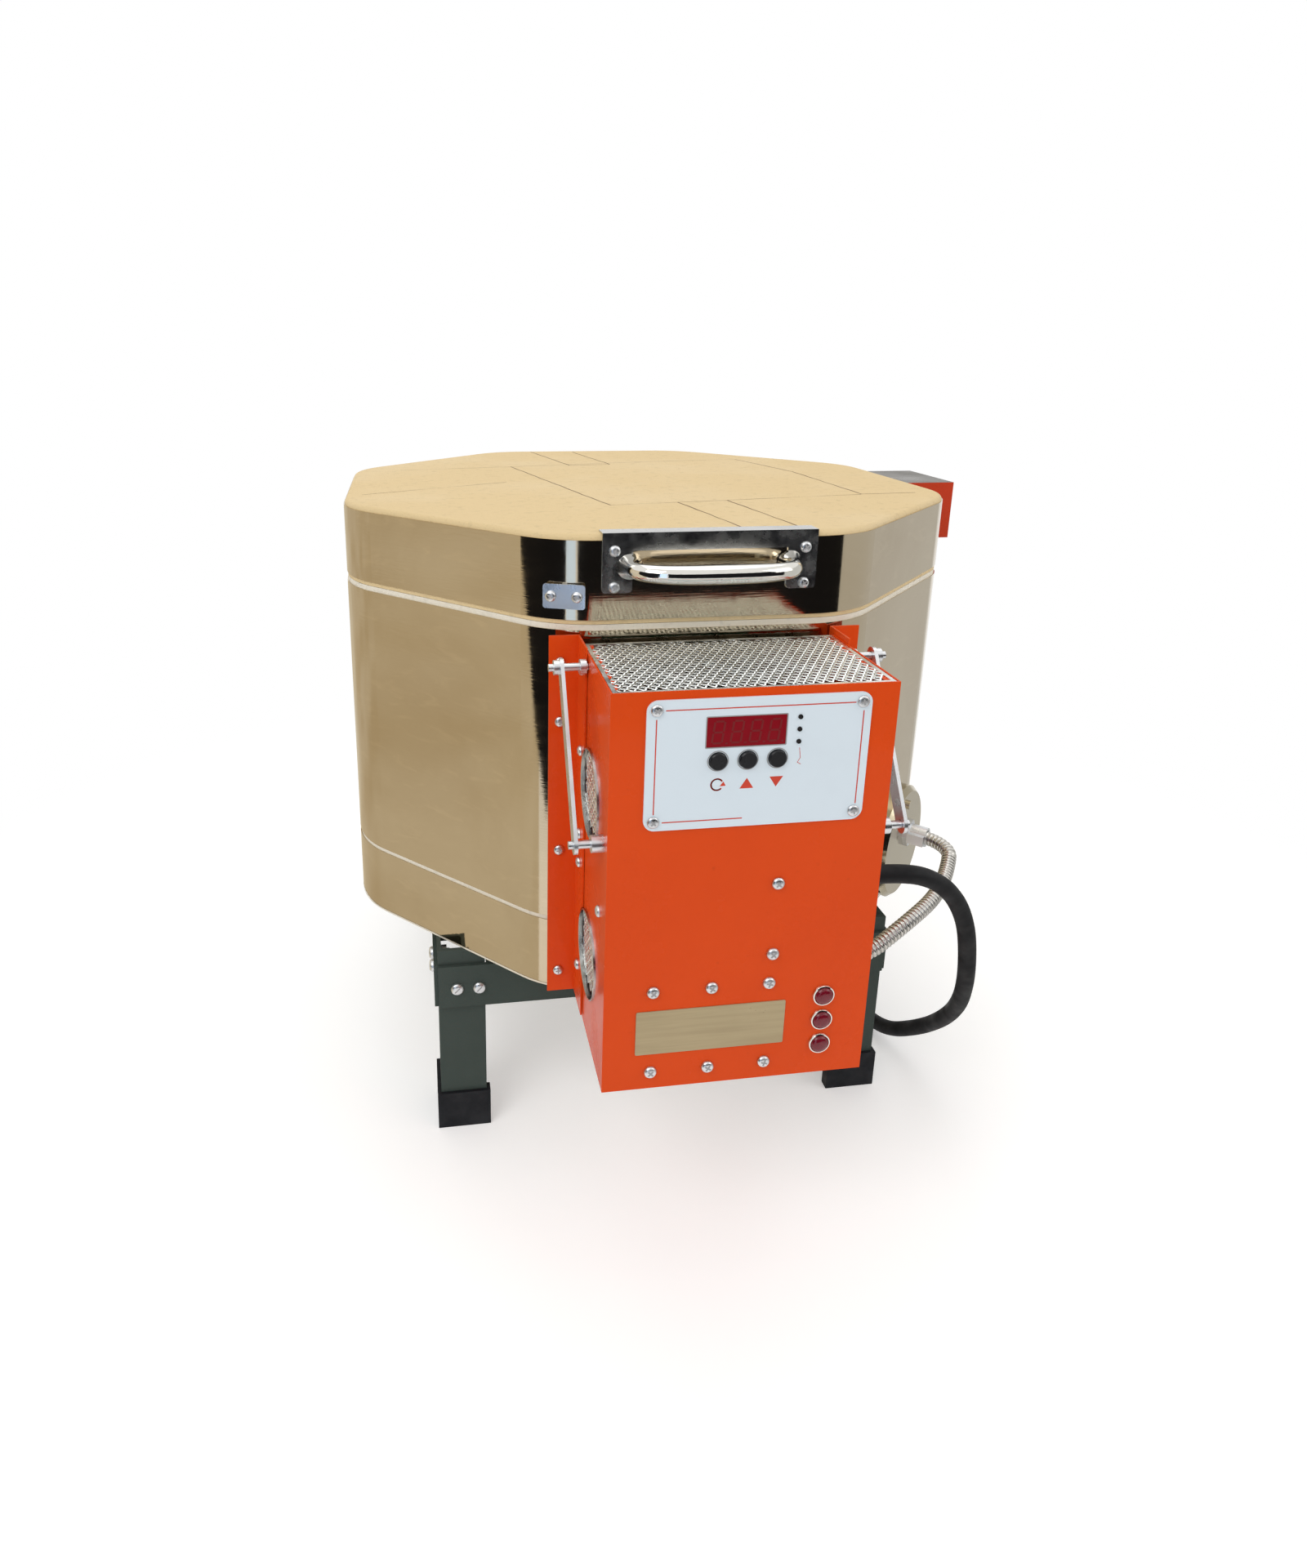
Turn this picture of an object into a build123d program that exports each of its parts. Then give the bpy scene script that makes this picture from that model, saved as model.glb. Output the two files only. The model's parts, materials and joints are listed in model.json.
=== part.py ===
from build123d import *
import math
import os

os.makedirs("parts", exist_ok=True)

# An octagonal front-wired bead annealing kiln on a bolted angle-iron stand.
# Places here are measured from the floor, on the axis of the firing chamber.
# The files' origin is on the floor, under the middle of the kiln's footprint.
# +X right, +Y back, +Z up. The control box and the lid handle face -Y.
# All sizes are in millimetres, and turns are in degrees.

# ---------------------------------------------------------------- driving sizes

# Fired body: a steel-jacketed octagon of insulating firebrick
across_flats = 508.0
jacket_gauge = 0.8
corner_radius = 75.0
chamber_flats = 381.0
slab_thickness = 62.0
course_height = 112.5
jacket_bottom_reveal = 1.5
floor_band_height = 55.0
brick_line = 3.5
jacket_top_reveal = 4.0
lid_band_reveal_low = 3.0
lid_band_reveal_top = 4.0
lid_edge_round = 4.0
lid_gap = 0.3

# Heating elements, laid as two turns each in grooves of the brick
element_radius = 4.5
groove_height = 11.0
groove_depth = 12.5
lower_row_rise = 32.0
upper_row_rise = 80.0
element_gap_half = 25.0
tail_radius = 1.6
tail_reach = 44.0
bushing_radius = 4.5
bushing_sunk = 14.0
lid_element_flats = 270.0
lid_element_inner_flats = 190.0
seat_gap = 0.3

# Thermocouple in the front wall
sheath_radius = 4.0
sheath_in_chamber = 26.0
sheath_below_joint = 14.0
thermocouple_block_width = 34.0
thermocouple_block_height = 18.0
thermocouple_block_depth = 14.0
thermocouple_block_round = 3.0

# Stand of 1.5 inch angle iron
leg_length = 166.0
stand_half_width = 191.0
angle_size = 38.1
angle_gauge = 3.2
angle_root_radius = 3.0
rail_drop = 13.5
cope_clearance = 1.0
bolt_radius = 3.0
bolt_head_radius = 5.2
bolt_head_height = 3.4
nut_flats = 10.0
nut_height = 5.0
bolt_end = 1.0
bolt_inset = 15.0
bolt_spacing = 18.0
front_bolt_drop = 34.0
side_bolt_drop = 23.0
hole_clearance = 0.3
foot_wall = 3.0
foot_sole = 4.0
foot_height = 34.0
foot_clearance = 0.2

# Control box: a sheet-metal box held between two mounting angles
box_width = 178.0
box_height = 277.0
box_depth = 108.0
sheet_gauge = 1.2
box_back_gap = 8.0
mounting_wall_depth = 32.0
mounting_flange = 20.0
mounting_low_rise = 2.0
mounting_top_rise = 4.0
wall_screw_forward = 19.0
wall_screw_shares = (0.13, 0.43, 0.51, 0.736, 0.946)
flange_screw_shares = (0.072, 0.433, 0.79, 0.946)
flange_screw_out = 12.0
side_screw_back = 21.0
side_screw_share = 0.44
sheet_fit = 0.3
vent_radius = 30.0
vent_lip = 3.0
vent_gauge = 1.0
vent_from_front = 57.5
vent_shares = (0.2365, 0.673)
mesh_pitch = 14.0
mesh_hole = 11.0
mesh_border = 6.0
mesh_gauge = 1.0

# Controller face and what looks through it, measured from the box's middle and top
plate_width = 139.0
plate_height = 84.0
plate_shift = 2.0
plate_drop = 5.0
plate_gauge = 1.2
plate_corner = 7.0
plate_screw_inset = 6.0
window_width = 49.0
window_height = 19.0
window_shift = -6.2
window_drop = 17.0
window_fit = 0.2
button_radius = 5.5
button_flange_radius = 7.0
button_flange = 1.5
button_stem_radius = 2.0
button_proud = 2.2
button_bevel = 0.6
button_travel = 1.0
button_fit = 0.3
button_pitch = 18.5
button_shift = -23.0
button_drop = 45.0
led_radius = 1.4
led_fit = 0.15
led_proud = 0.7
led_shift = 26.7
led_pitch = 7.9
led_drop = 19.0
board_width = 122.0
board_height = 76.0
board_gauge = 1.6
board_back = 16.0
switch_size = 6.0
switch_height = 4.0
standoff_radius = 3.0
display_clearance = 0.3
window_behind_panel = 1.0

# Pilot lamps and screws of the front panel
lamp_radius = 4.7
bezel_radius = 6.3
bezel_proud = 2.0
lens_proud = 4.2
lamp_depth = 12.0
lamp_fit = 0.2
lamp_shift = 58.0
lamp_heights = (23.5, 42.0, 60.5)
lens_bevel = 2.0
screw_head_radius = 3.9
screw_head_height = 2.4
screw_radius = 1.9
screw_length = 7.0
front_screw_places = (
    (21.0, 146.0),
    (21.0, 95.0),
    (-57.0, 73.5),
    (-18.4, 73.5),
    (20.0, 73.5),
    (-57.0, 13.0),
    (-18.4, 13.0),
    (20.0, 13.0),
)

# Brace straps between the mounting angles and the box, one each side
strap_width = 12.0
strap_gauge = 2.4
strap_offset = 15.0
stud_radius = 2.6
stud_end = 7.0
stud_nut_radius = 5.0
stud_nut_height = 4.0
boss_radius = 5.5
boss_length = 8.0
foot_rod_end = 3.0
strap_top_back = 33.0
strap_top_drop = 14.0
strap_foot_front = 12.0
strap_foot_rise = 175.0

# Inside the control box
relay_width = 46.0
relay_height = 60.0
relay_depth = 34.0
relay_shift = 48.0
relay_rise = 128.0
strip_width = 62.0
strip_height = 24.0
strip_depth = 28.0
strip_rise = 52.0
strip_shift = 40.0
strip_cells = 5
strip_cell_width = 8.0
strip_rim = 4.0
transformer_width = 48.0
transformer_height = 44.0
transformer_depth = 38.0
transformer_shift = -52.0
transformer_rise = 26.0
winding_width = 32.0
winding_proud = 5.0
winding_inset = 8.0
relay_bevel = 3.0

# Junction cover on the front right flat: its middle lies this far along the flat
junction_radius = 50.0
junction_depth = 12.0
junction_gauge = 1.2
junction_edge_bevel = 4.0
junction_along = 41.0
junction_rise = 52.0
junction_screw_radius = 36.0

# Flexible metal conduit between the junction cover and the control box
conduit_radius = 6.0
conduit_root_radius = 5.0
conduit_bore_radius = 4.2
conduit_rib_pitch = 6.5
conduit_socket_clearance = 0.15
connector_radius = 8.5
connector_length = 18.0
connector_socket = 12.0
shoulder_flats = 21.0
shoulder_height = 4.0
squeeze_lug_reach = 12.0
squeeze_lug_width = 9.0
spigot_radius = 6.4
spigot_length = 7.0
locknut_radius = 9.5
locknut_height = 3.0
conduit_face_along = 46.0
conduit_face_rise = 60.0
conduit_box_back = 12.0
conduit_box_rise = 20.0
conduit_run_at_box = 37.5
conduit_run_at_cover = 38.0
# Its middle corners, as shares of the way right, back and up between the two straight runs
conduit_corners = ((0.33, 0.13, 0.48), (0.64, 0.37, 0.68), (0.87, 0.73, 0.75))

# Power cord, its gland, its coil behind the kiln, and the plug
cord_radius = 6.75
cord_lay_clearance = 0.25
gland_forward = 40.0
gland_rise = 110.0
gland_flange_radius = 12.0
gland_flange = 5.0
gland_base_radius = 10.0
gland_tip_radius = 8.2
gland_taper = 22.0
gland_thread_radius = 8.0
gland_nut_radius = 11.0
gland_nut_height = 3.0
coil_centre_x = 112.0
coil_behind_stand = 119.0
coil_mean_radius = 74.0
coil_turn_gap = 0.8
coil_layer_turns = 0.75
coil_climb_turns = 0.5
cord_tail = 34.0
# Corners of its fall from the gland's tip: right, back, and the share of the height left
cord_fall = (
    (24.0, 0.0, 1.0),
    (50.0, 3.0, 0.965),
    (72.0, 10.0, 0.89),
    (90.0, 20.0, 0.78),
    (103.0, 32.0, 0.645),
    (114.0, 46.0, 0.505),
    (124.0, 67.0, 0.37),
    (130.0, 96.0, 0.238),
    (129.0, 129.0, 0.114),
    (115.0, 161.0, 0.018),
)
# Corners of its run on the floor, right and back of the coil's first point
cord_run = (
    (29.0, -410.0),
    (33.0, -358.0),
    (42.0, -298.0),
    (46.0, -238.0),
    (41.0, -178.0),
    (28.0, -123.0),
    (11.0, -74.0),
    (0.0, -32.0),
)
plug_neck_radius = 9.0
plug_neck_length = 19.0
plug_radius = 21.0
plug_length = 46.0
plug_taper = 14.0
plug_edge_bevel = 2.5
plug_neck_flare = 10.4
blade_width = 6.4
blade_gauge = 1.6
blade_length = 17.0
blade_spacing = 12.7
earth_pin_radius = 2.4
earth_pin_drop = 11.9

# Lid hinge at the back, and the lid's handle, clamp and terminal box
pin_radius = 4.0
pin_clearance = 0.05
pin_half_length = 74.0
pin_head_radius = 6.5
pin_head = 3.0
bore_overrun = 5.0
hinge_axis_back = 18.0
hinge_corner = 4.0
hinge_screw_inset = 12.0
hinge_screw_share = 0.7
knuckle_root_inset = 8.0
hinge_gauge = 3.0
knuckle_radius = 9.0
base_half_width = 68.0
leaf_half_width = 62.0
base_plate_height = 60.0
base_plate_drop = 8.0
leaf_plate_height = 44.0
leaf_plate_rise = 9.0
handle_half_span = 56.0
handle_bar_radius = 6.5
handle_reach = 36.0
handle_bend_radius = 15.0
handle_root_radius = 9.5
handle_root_length = 9.0
handle_drop = 22.0
bracket_half_width = 75.0
bracket_gauge = 1.2
bracket_band = 11.0
bracket_lip = 13.0
tab_width = 21.0
tab_drop = 40.0
tab_screw_drops = (11.0, 36.0)
tab_screw_out = 2.0
tab_corner = 3.0
clamp_width = 29.0
clamp_height = 17.0
clamp_gauge = 1.6
clamp_corner = 2.0
clamp_turn = 19.5
clamp_screw_half = 9.0
clamp_rise = 17.0
lid_box_width = 51.0
lid_box_length = 86.0
lid_box_height = 51.0
lid_box_front = -20.0
lid_box_rise = 4.0
lid_box_cover = 1.5
lid_tail_inside = 17.0

# ---------------------------------------------------------------- derived places

jacket_half = across_flats / 2
brick_flats = across_flats - 2 * jacket_gauge
brick_radius = corner_radius - jacket_gauge
brick_half = brick_flats / 2
chamber_half = chamber_flats / 2
kiln_bottom = foot_sole + leg_length
floor_top = kiln_bottom + slab_thickness
wall_height = 2 * course_height
wall_top = floor_top + wall_height
lid_bottom = wall_top + lid_gap
lid_top = lid_bottom + slab_thickness
jacket_low = kiln_bottom + jacket_bottom_reveal + floor_band_height + brick_line
jacket_high = wall_top - jacket_top_reveal
band_low = lid_bottom + lid_band_reveal_low
band_high = lid_top - lid_band_reveal_top
element_flats = chamber_flats + 2 * (groove_depth - element_radius - seat_gap)
rail_top = kiln_bottom - rail_drop
box_bottom = kiln_bottom
box_top = box_bottom + box_height
box_front = -jacket_half - box_depth
box_half = box_width / 2
box_back = -jacket_half - box_back_gap
baffle_back = box_back
baffle_front = baffle_back - sheet_gauge
mounting_inner = box_half + sheet_fit
mounting_outer = mounting_inner + sheet_gauge
plate_front = box_front - plate_gauge
panel_back = box_front + sheet_gauge
plate_middle = box_top - plate_drop - plate_height / 2
gland_y = box_back - gland_forward
gland_z = box_bottom + gland_rise
conduit_box_y = box_back - conduit_box_back
conduit_box_z = box_bottom + conduit_box_rise
hinge_y = jacket_half + hinge_axis_back
hinge_z = wall_top
row_rises = (lower_row_rise, upper_row_rise)
screw_hole_radius = screw_radius + hole_clearance
mounting_low = box_bottom + mounting_low_rise
mounting_high = box_top + mounting_top_rise
footprint_middle_x = lid_box_width / 2
footprint_middle_y = (box_front - lens_proud + hinge_y + knuckle_radius) / 2
to_footprint = Pos(-footprint_middle_x, -footprint_middle_y, 0)
through = 20.0


# ---------------------------------------------------------------- shared forms

standing = (Align.CENTER, Align.CENTER, Align.MIN)
hanging = (Align.CENTER, Align.CENTER, Align.MAX)

def save(shape, node):
    """Write one sub-part to its own STEP file, measured from the footprint's middle."""
    export_step(to_footprint * shape, "parts/" + node + ".step")


def save_group(pieces, node):
    """Write several separate solids that share one sub-part."""
    moved = [to_footprint * piece for piece in pieces]
    export_step(Compound(children=moved), "parts/" + node + ".step")


def octagon(flats, radius=0.0):
    """Octagon with a flat to the front, its corners rounded to the radius."""
    outline = RegularPolygon(flats / 2, 8, major_radius=False, rotation=22.5)
    if radius > 0:
        outline = fillet(outline.vertices(), radius)
    return outline


def hexagon(flats):
    """Hexagon of a nut or a connector's shoulder."""
    return RegularPolygon(flats / 2, 6, major_radius=False)


def prism(outline, bottom, height):
    """The outline stood upright from the given height."""
    return extrude(Pos(0, 0, bottom) * outline, height)


def block(low, high):
    """Box between its lowest and its highest corner."""
    size = [b - a for a, b in zip(low, high)]
    middle = [(a + b) / 2 for a, b in zip(low, high)]
    return Pos(*middle) * Box(*size)


def rod(start, direction, radius, length):
    """Round bar from a start point along a direction."""
    return Plane(origin=start, z_dir=direction) * Cylinder(radius, length, align=standing)


def tube(path, radius):
    """Round bar swept along a path."""
    start = Plane(origin=path @ 0, z_dir=path % 0)
    return sweep(start * Circle(radius), path=path)


def screw(place, outward, shank=screw_length):
    """Pan-head screw: its head stands on the surface at place, facing outward."""
    head = Cylinder(screw_head_radius, screw_head_height, align=standing)
    stem = Cylinder(screw_radius, shank, align=hanging)
    return Plane(origin=place, z_dir=outward) * (head + stem)


def screw_hole(place, outward):
    """Clearance hole for one screw through thin sheet."""
    reach = 2 * screw_length
    start = Vector(*place) - Vector(*outward) * (reach / 2)
    return rod(start, outward, screw_hole_radius, reach)


def diamond():
    """One opening of expanded metal."""
    side = mesh_hole / math.sqrt(2)
    return Rot(0, 0, 45) * Rectangle(side, side)


def diamond_field(width, height):
    """Rows of diamond openings that fill a rectangle, as in expanded metal."""
    columns = int((width - mesh_hole) / mesh_pitch) + 1
    rows = int((height - mesh_hole) / mesh_pitch) + 1
    grid = GridLocations(mesh_pitch, mesh_pitch, columns, rows)
    return Sketch() + [place * diamond() for place in grid]


def round_diamond_field(radius):
    """Diamond openings that fill a circle, none of them cut by its edge."""
    count = 2 * int(radius / mesh_pitch) + 1
    grid = GridLocations(mesh_pitch, mesh_pitch, count, count)
    inside = [place for place in grid if place.position.length < radius - mesh_hole / 2]
    return Sketch() + [place * diamond() for place in inside]


# ---------------------------------------------------------------- stand


def angle_section():
    """L section, its outer corner at the origin, flanges along +X and +Y."""
    corner = (Align.MIN, Align.MIN)
    section = Rectangle(angle_size, angle_gauge, align=corner)
    section += Rectangle(angle_gauge, angle_size, align=corner)
    root = section.vertices().sort_by_distance((angle_gauge, angle_gauge))[0]
    return fillet(root, angle_root_radius)


def bolt_places():
    """Bolt centres along a rail, from the stand's middle."""
    first = stand_half_width - bolt_inset
    second = first - bolt_spacing
    return (-first, -second, second, first)


def bolt_height(side):
    """Front and back rails are bolted lower than the side rails."""
    drop = front_bolt_drop if side % 2 == 0 else side_bolt_drop
    return kiln_bottom - drop


def side_turn(side):
    """Quarter turn that carries the front of the stand to another side."""
    return Rot(0, 0, 90 * side)


def bolt_holes():
    """All bolt holes of the stand."""
    radius = bolt_radius + hole_clearance
    depth = 4 * angle_gauge
    holes = []
    for side in range(4):
        for x in bolt_places():
            start = (x, -stand_half_width - 2 * angle_gauge, bolt_height(side))
            holes.append(side_turn(side) * rod(start, (0, 1, 0), radius, depth))
    return holes


def build_stand():
    holes = bolt_holes()
    corner = Pos(-stand_half_width, -stand_half_width, foot_sole)
    leg = corner * extrude(angle_section(), leg_length)
    names = ("leg_front_left", "leg_front_right", "leg_rear_right", "leg_rear_left")
    for side, name in enumerate(names):
        save(side_turn(side) * leg - holes, name)

    reach = stand_half_width
    outer = block(
        (-reach, -reach - angle_gauge, rail_top - angle_size), (reach, -reach, rail_top)
    )
    short = reach - angle_size - cope_clearance
    shelf = block(
        (-short, -reach, rail_top - angle_gauge), (short, -reach - angle_gauge + angle_size, rail_top)
    )
    rail = outer + shelf
    names = ("rail_front", "rail_right", "rail_rear", "rail_left")
    for side, name in enumerate(names):
        save(side_turn(side) * rail - holes, name)

    bolts = []
    for side in range(4):
        for x in bolt_places():
            place = (x, -reach - angle_gauge, bolt_height(side))
            head = rod(place, (0, -1, 0), bolt_head_radius, bolt_head_height)
            stem = rod(place, (0, 1, 0), bolt_radius, 2 * angle_gauge + nut_height + bolt_end)
            nut_plane = Plane(origin=(x, -reach + angle_gauge, bolt_height(side)), z_dir=(0, 1, 0))
            nut = extrude(nut_plane * hexagon(nut_flats), nut_height)
            bolts.append(side_turn(side) * (head + stem + nut))
    save_group(bolts, "stand_bolts")

    size = angle_size + 2 * foot_wall
    gauge = angle_gauge + 2 * foot_wall
    low = (Align.MIN, Align.MIN)
    outline = Rectangle(size, gauge, align=low) + Rectangle(gauge, size, align=low)
    inner_size = angle_size + 2 * foot_clearance
    inner_gauge = angle_gauge + 2 * foot_clearance
    pocket = Rectangle(inner_size, inner_gauge, align=low)
    pocket += Rectangle(inner_gauge, inner_size, align=low)
    root = pocket.vertices().sort_by_distance((inner_gauge, inner_gauge))[0]
    pocket = fillet(root, angle_root_radius)
    corner = -stand_half_width - foot_wall
    boot = extrude(Pos(corner, corner, 0) * outline, foot_height)
    shift = -stand_half_width - foot_clearance
    boot -= extrude(Pos(shift, shift, foot_sole) * pocket, foot_height)
    save_group([side_turn(side) * boot for side in range(4)], "rubber_feet")


# ---------------------------------------------------------------- fired body


def tail_places(course):
    """Where the two ends of one wall element leave, as (x, z)."""
    bottom = floor_top + course * course_height
    x = -element_gap_half + tail_radius + seat_gap
    return [(x, bottom + rise) for rise in row_rises]


def thermocouple_height():
    return floor_top + course_height - sheath_below_joint


def wall_course(course):
    """One course of eight mitred bricks, grooved on the inside for its element."""
    bottom = floor_top + course * course_height
    ring = octagon(brick_flats, brick_radius) - octagon(chamber_flats)
    body = prism(ring, bottom, course_height)
    groove = octagon(chamber_flats + 2 * groove_depth)
    for rise in row_rises:
        low = bottom + rise - groove_height / 2
        body -= prism(groove, low, groove_height)
    drop_x = element_gap_half
    reach = chamber_half + groove_depth
    body -= block(
        (drop_x - groove_height / 2, -reach, bottom + row_rises[0]),
        (drop_x + groove_height / 2, -chamber_half + 1, bottom + row_rises[1]),
    )
    for x, z in tail_places(course):
        start = (x, -chamber_half, z)
        body -= rod(start, (0, -1, 0), tail_radius + seat_gap, brick_half)
        mouth = (x, -brick_half + bushing_sunk, z)
        body -= rod(mouth, (0, -1, 0), bushing_radius + seat_gap, brick_half)
    if course == 0:
        start = (0, -chamber_half + 1, thermocouple_height())
        body -= rod(start, (0, -1, 0), sheath_radius + seat_gap, brick_half)
    bricks = []
    for k in range(8):
        first = math.radians(22.5 + 45 * k)
        second = first + math.radians(45)
        reach = across_flats
        wedge = Polygon(
            (0, 0),
            (reach * math.cos(first), reach * math.sin(first)),
            (reach * math.cos(second), reach * math.sin(second)),
            align=None,
        )
        bricks.append(body & prism(wedge, bottom, course_height))
    return bricks


def octagon_turn(flats, gap, height):
    """Points once round an octagon, from one side of a gap in its front to the other."""
    half = flats / 2
    major = half / math.cos(math.radians(22.5))
    points = [(-gap, -half, height)]
    for k in range(8):
        angle = math.radians(-112.5 - 45 * k)
        points.append((major * math.cos(angle), major * math.sin(angle), height))
    points.append((gap, -half, height))
    return points


def element_body(first_turn, second_turn):
    """Heating coil's outer shape: round once, across, and back the other way."""
    path = Polyline(*(first_turn + second_turn[::-1]))
    start = Plane(origin=path @ 0, z_dir=path % 0)
    return sweep(start * Circle(element_radius), path=path, transition=Transition.RIGHT)


def build_fired_body():
    outline = octagon(brick_flats, brick_radius)
    save(prism(outline, kiln_bottom, slab_thickness), "floor_slab")
    save_group(wall_course(0), "wall_bricks_lower")
    save_group(wall_course(1), "wall_bricks_upper")

    skin = octagon(across_flats, corner_radius) - outline
    save(prism(skin, kiln_bottom + jacket_bottom_reveal, floor_band_height), "floor_band")
    jacket = prism(skin, jacket_low, jacket_high - jacket_low)
    behind = -brick_half + through / 2
    for course in range(2):
        for x, z in tail_places(course):
            jacket -= rod((x, behind, z), (0, -1, 0), bushing_radius + seat_gap, through)
    sheath_hole = sheath_radius + seat_gap
    jacket -= rod((0, behind, thermocouple_height()), (0, -1, 0), sheath_hole, through)
    save(jacket, "wall_jacket")

    elements = []
    tails = []
    bushings = []
    for course in range(2):
        bottom = floor_top + course * course_height
        rest = element_radius + seat_gap - groove_height / 2
        heights = [bottom + rise + rest for rise in row_rises]
        turns = [octagon_turn(element_flats, element_gap_half, z) for z in heights]
        elements.append(element_body(turns[0], turns[1]))
        for x, z in tail_places(course):
            length = jacket_half + tail_reach - element_flats / 2
            tails.append(rod((x, -element_flats / 2, z), (0, -1, 0), tail_radius, length))
            mouth = (x, -brick_half + bushing_sunk, z)
            length = brick_half - bushing_sunk
            sleeve = rod(mouth, (0, -1, 0), bushing_radius, -baffle_front - length)
            sleeve -= rod(mouth, (0, -1, 0), tail_radius + seat_gap / 2, -baffle_front)
            bushings.append(sleeve)
    save_group(elements, "wall_elements")
    save_group(tails, "element_tails")
    save_group(bushings, "element_bushings")

    z = thermocouple_height()
    tip = (0, -chamber_half + sheath_in_chamber, z)
    sheath_length = -baffle_front - chamber_half + sheath_in_chamber
    sheath = rod(tip, (0, -1, 0), sheath_radius, sheath_length)
    half_width = thermocouple_block_width / 2
    half_height = thermocouple_block_height / 2
    head = block(
        (-half_width, baffle_front - thermocouple_block_depth, z - half_height),
        (half_width, baffle_front, z + half_height),
    )
    head = fillet(head.edges().filter_by(Axis.Y), thermocouple_block_round)
    save(sheath + head, "thermocouple")


# ---------------------------------------------------------------- lid


def lid_element_turns():
    """The lid's two turns: gap towards the terminal box on the right."""
    height = lid_bottom + groove_depth - element_radius - seat_gap
    quarter = Rot(0, 0, 90)
    outer = octagon_turn(lid_element_flats, element_gap_half, height)
    inner = octagon_turn(lid_element_inner_flats, element_gap_half, height)
    turned = []
    for run in (outer, inner):
        turned.append([(-y, x, z) for x, y, z in run])
    return turned


def lid_tail_places():
    """Starts of the lid element's two tails, at its two ends."""
    outer, inner = lid_element_turns()
    inset = tail_radius + seat_gap
    return [(x, y + inset, z) for x, y, z in (outer[0], inner[0])]


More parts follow.
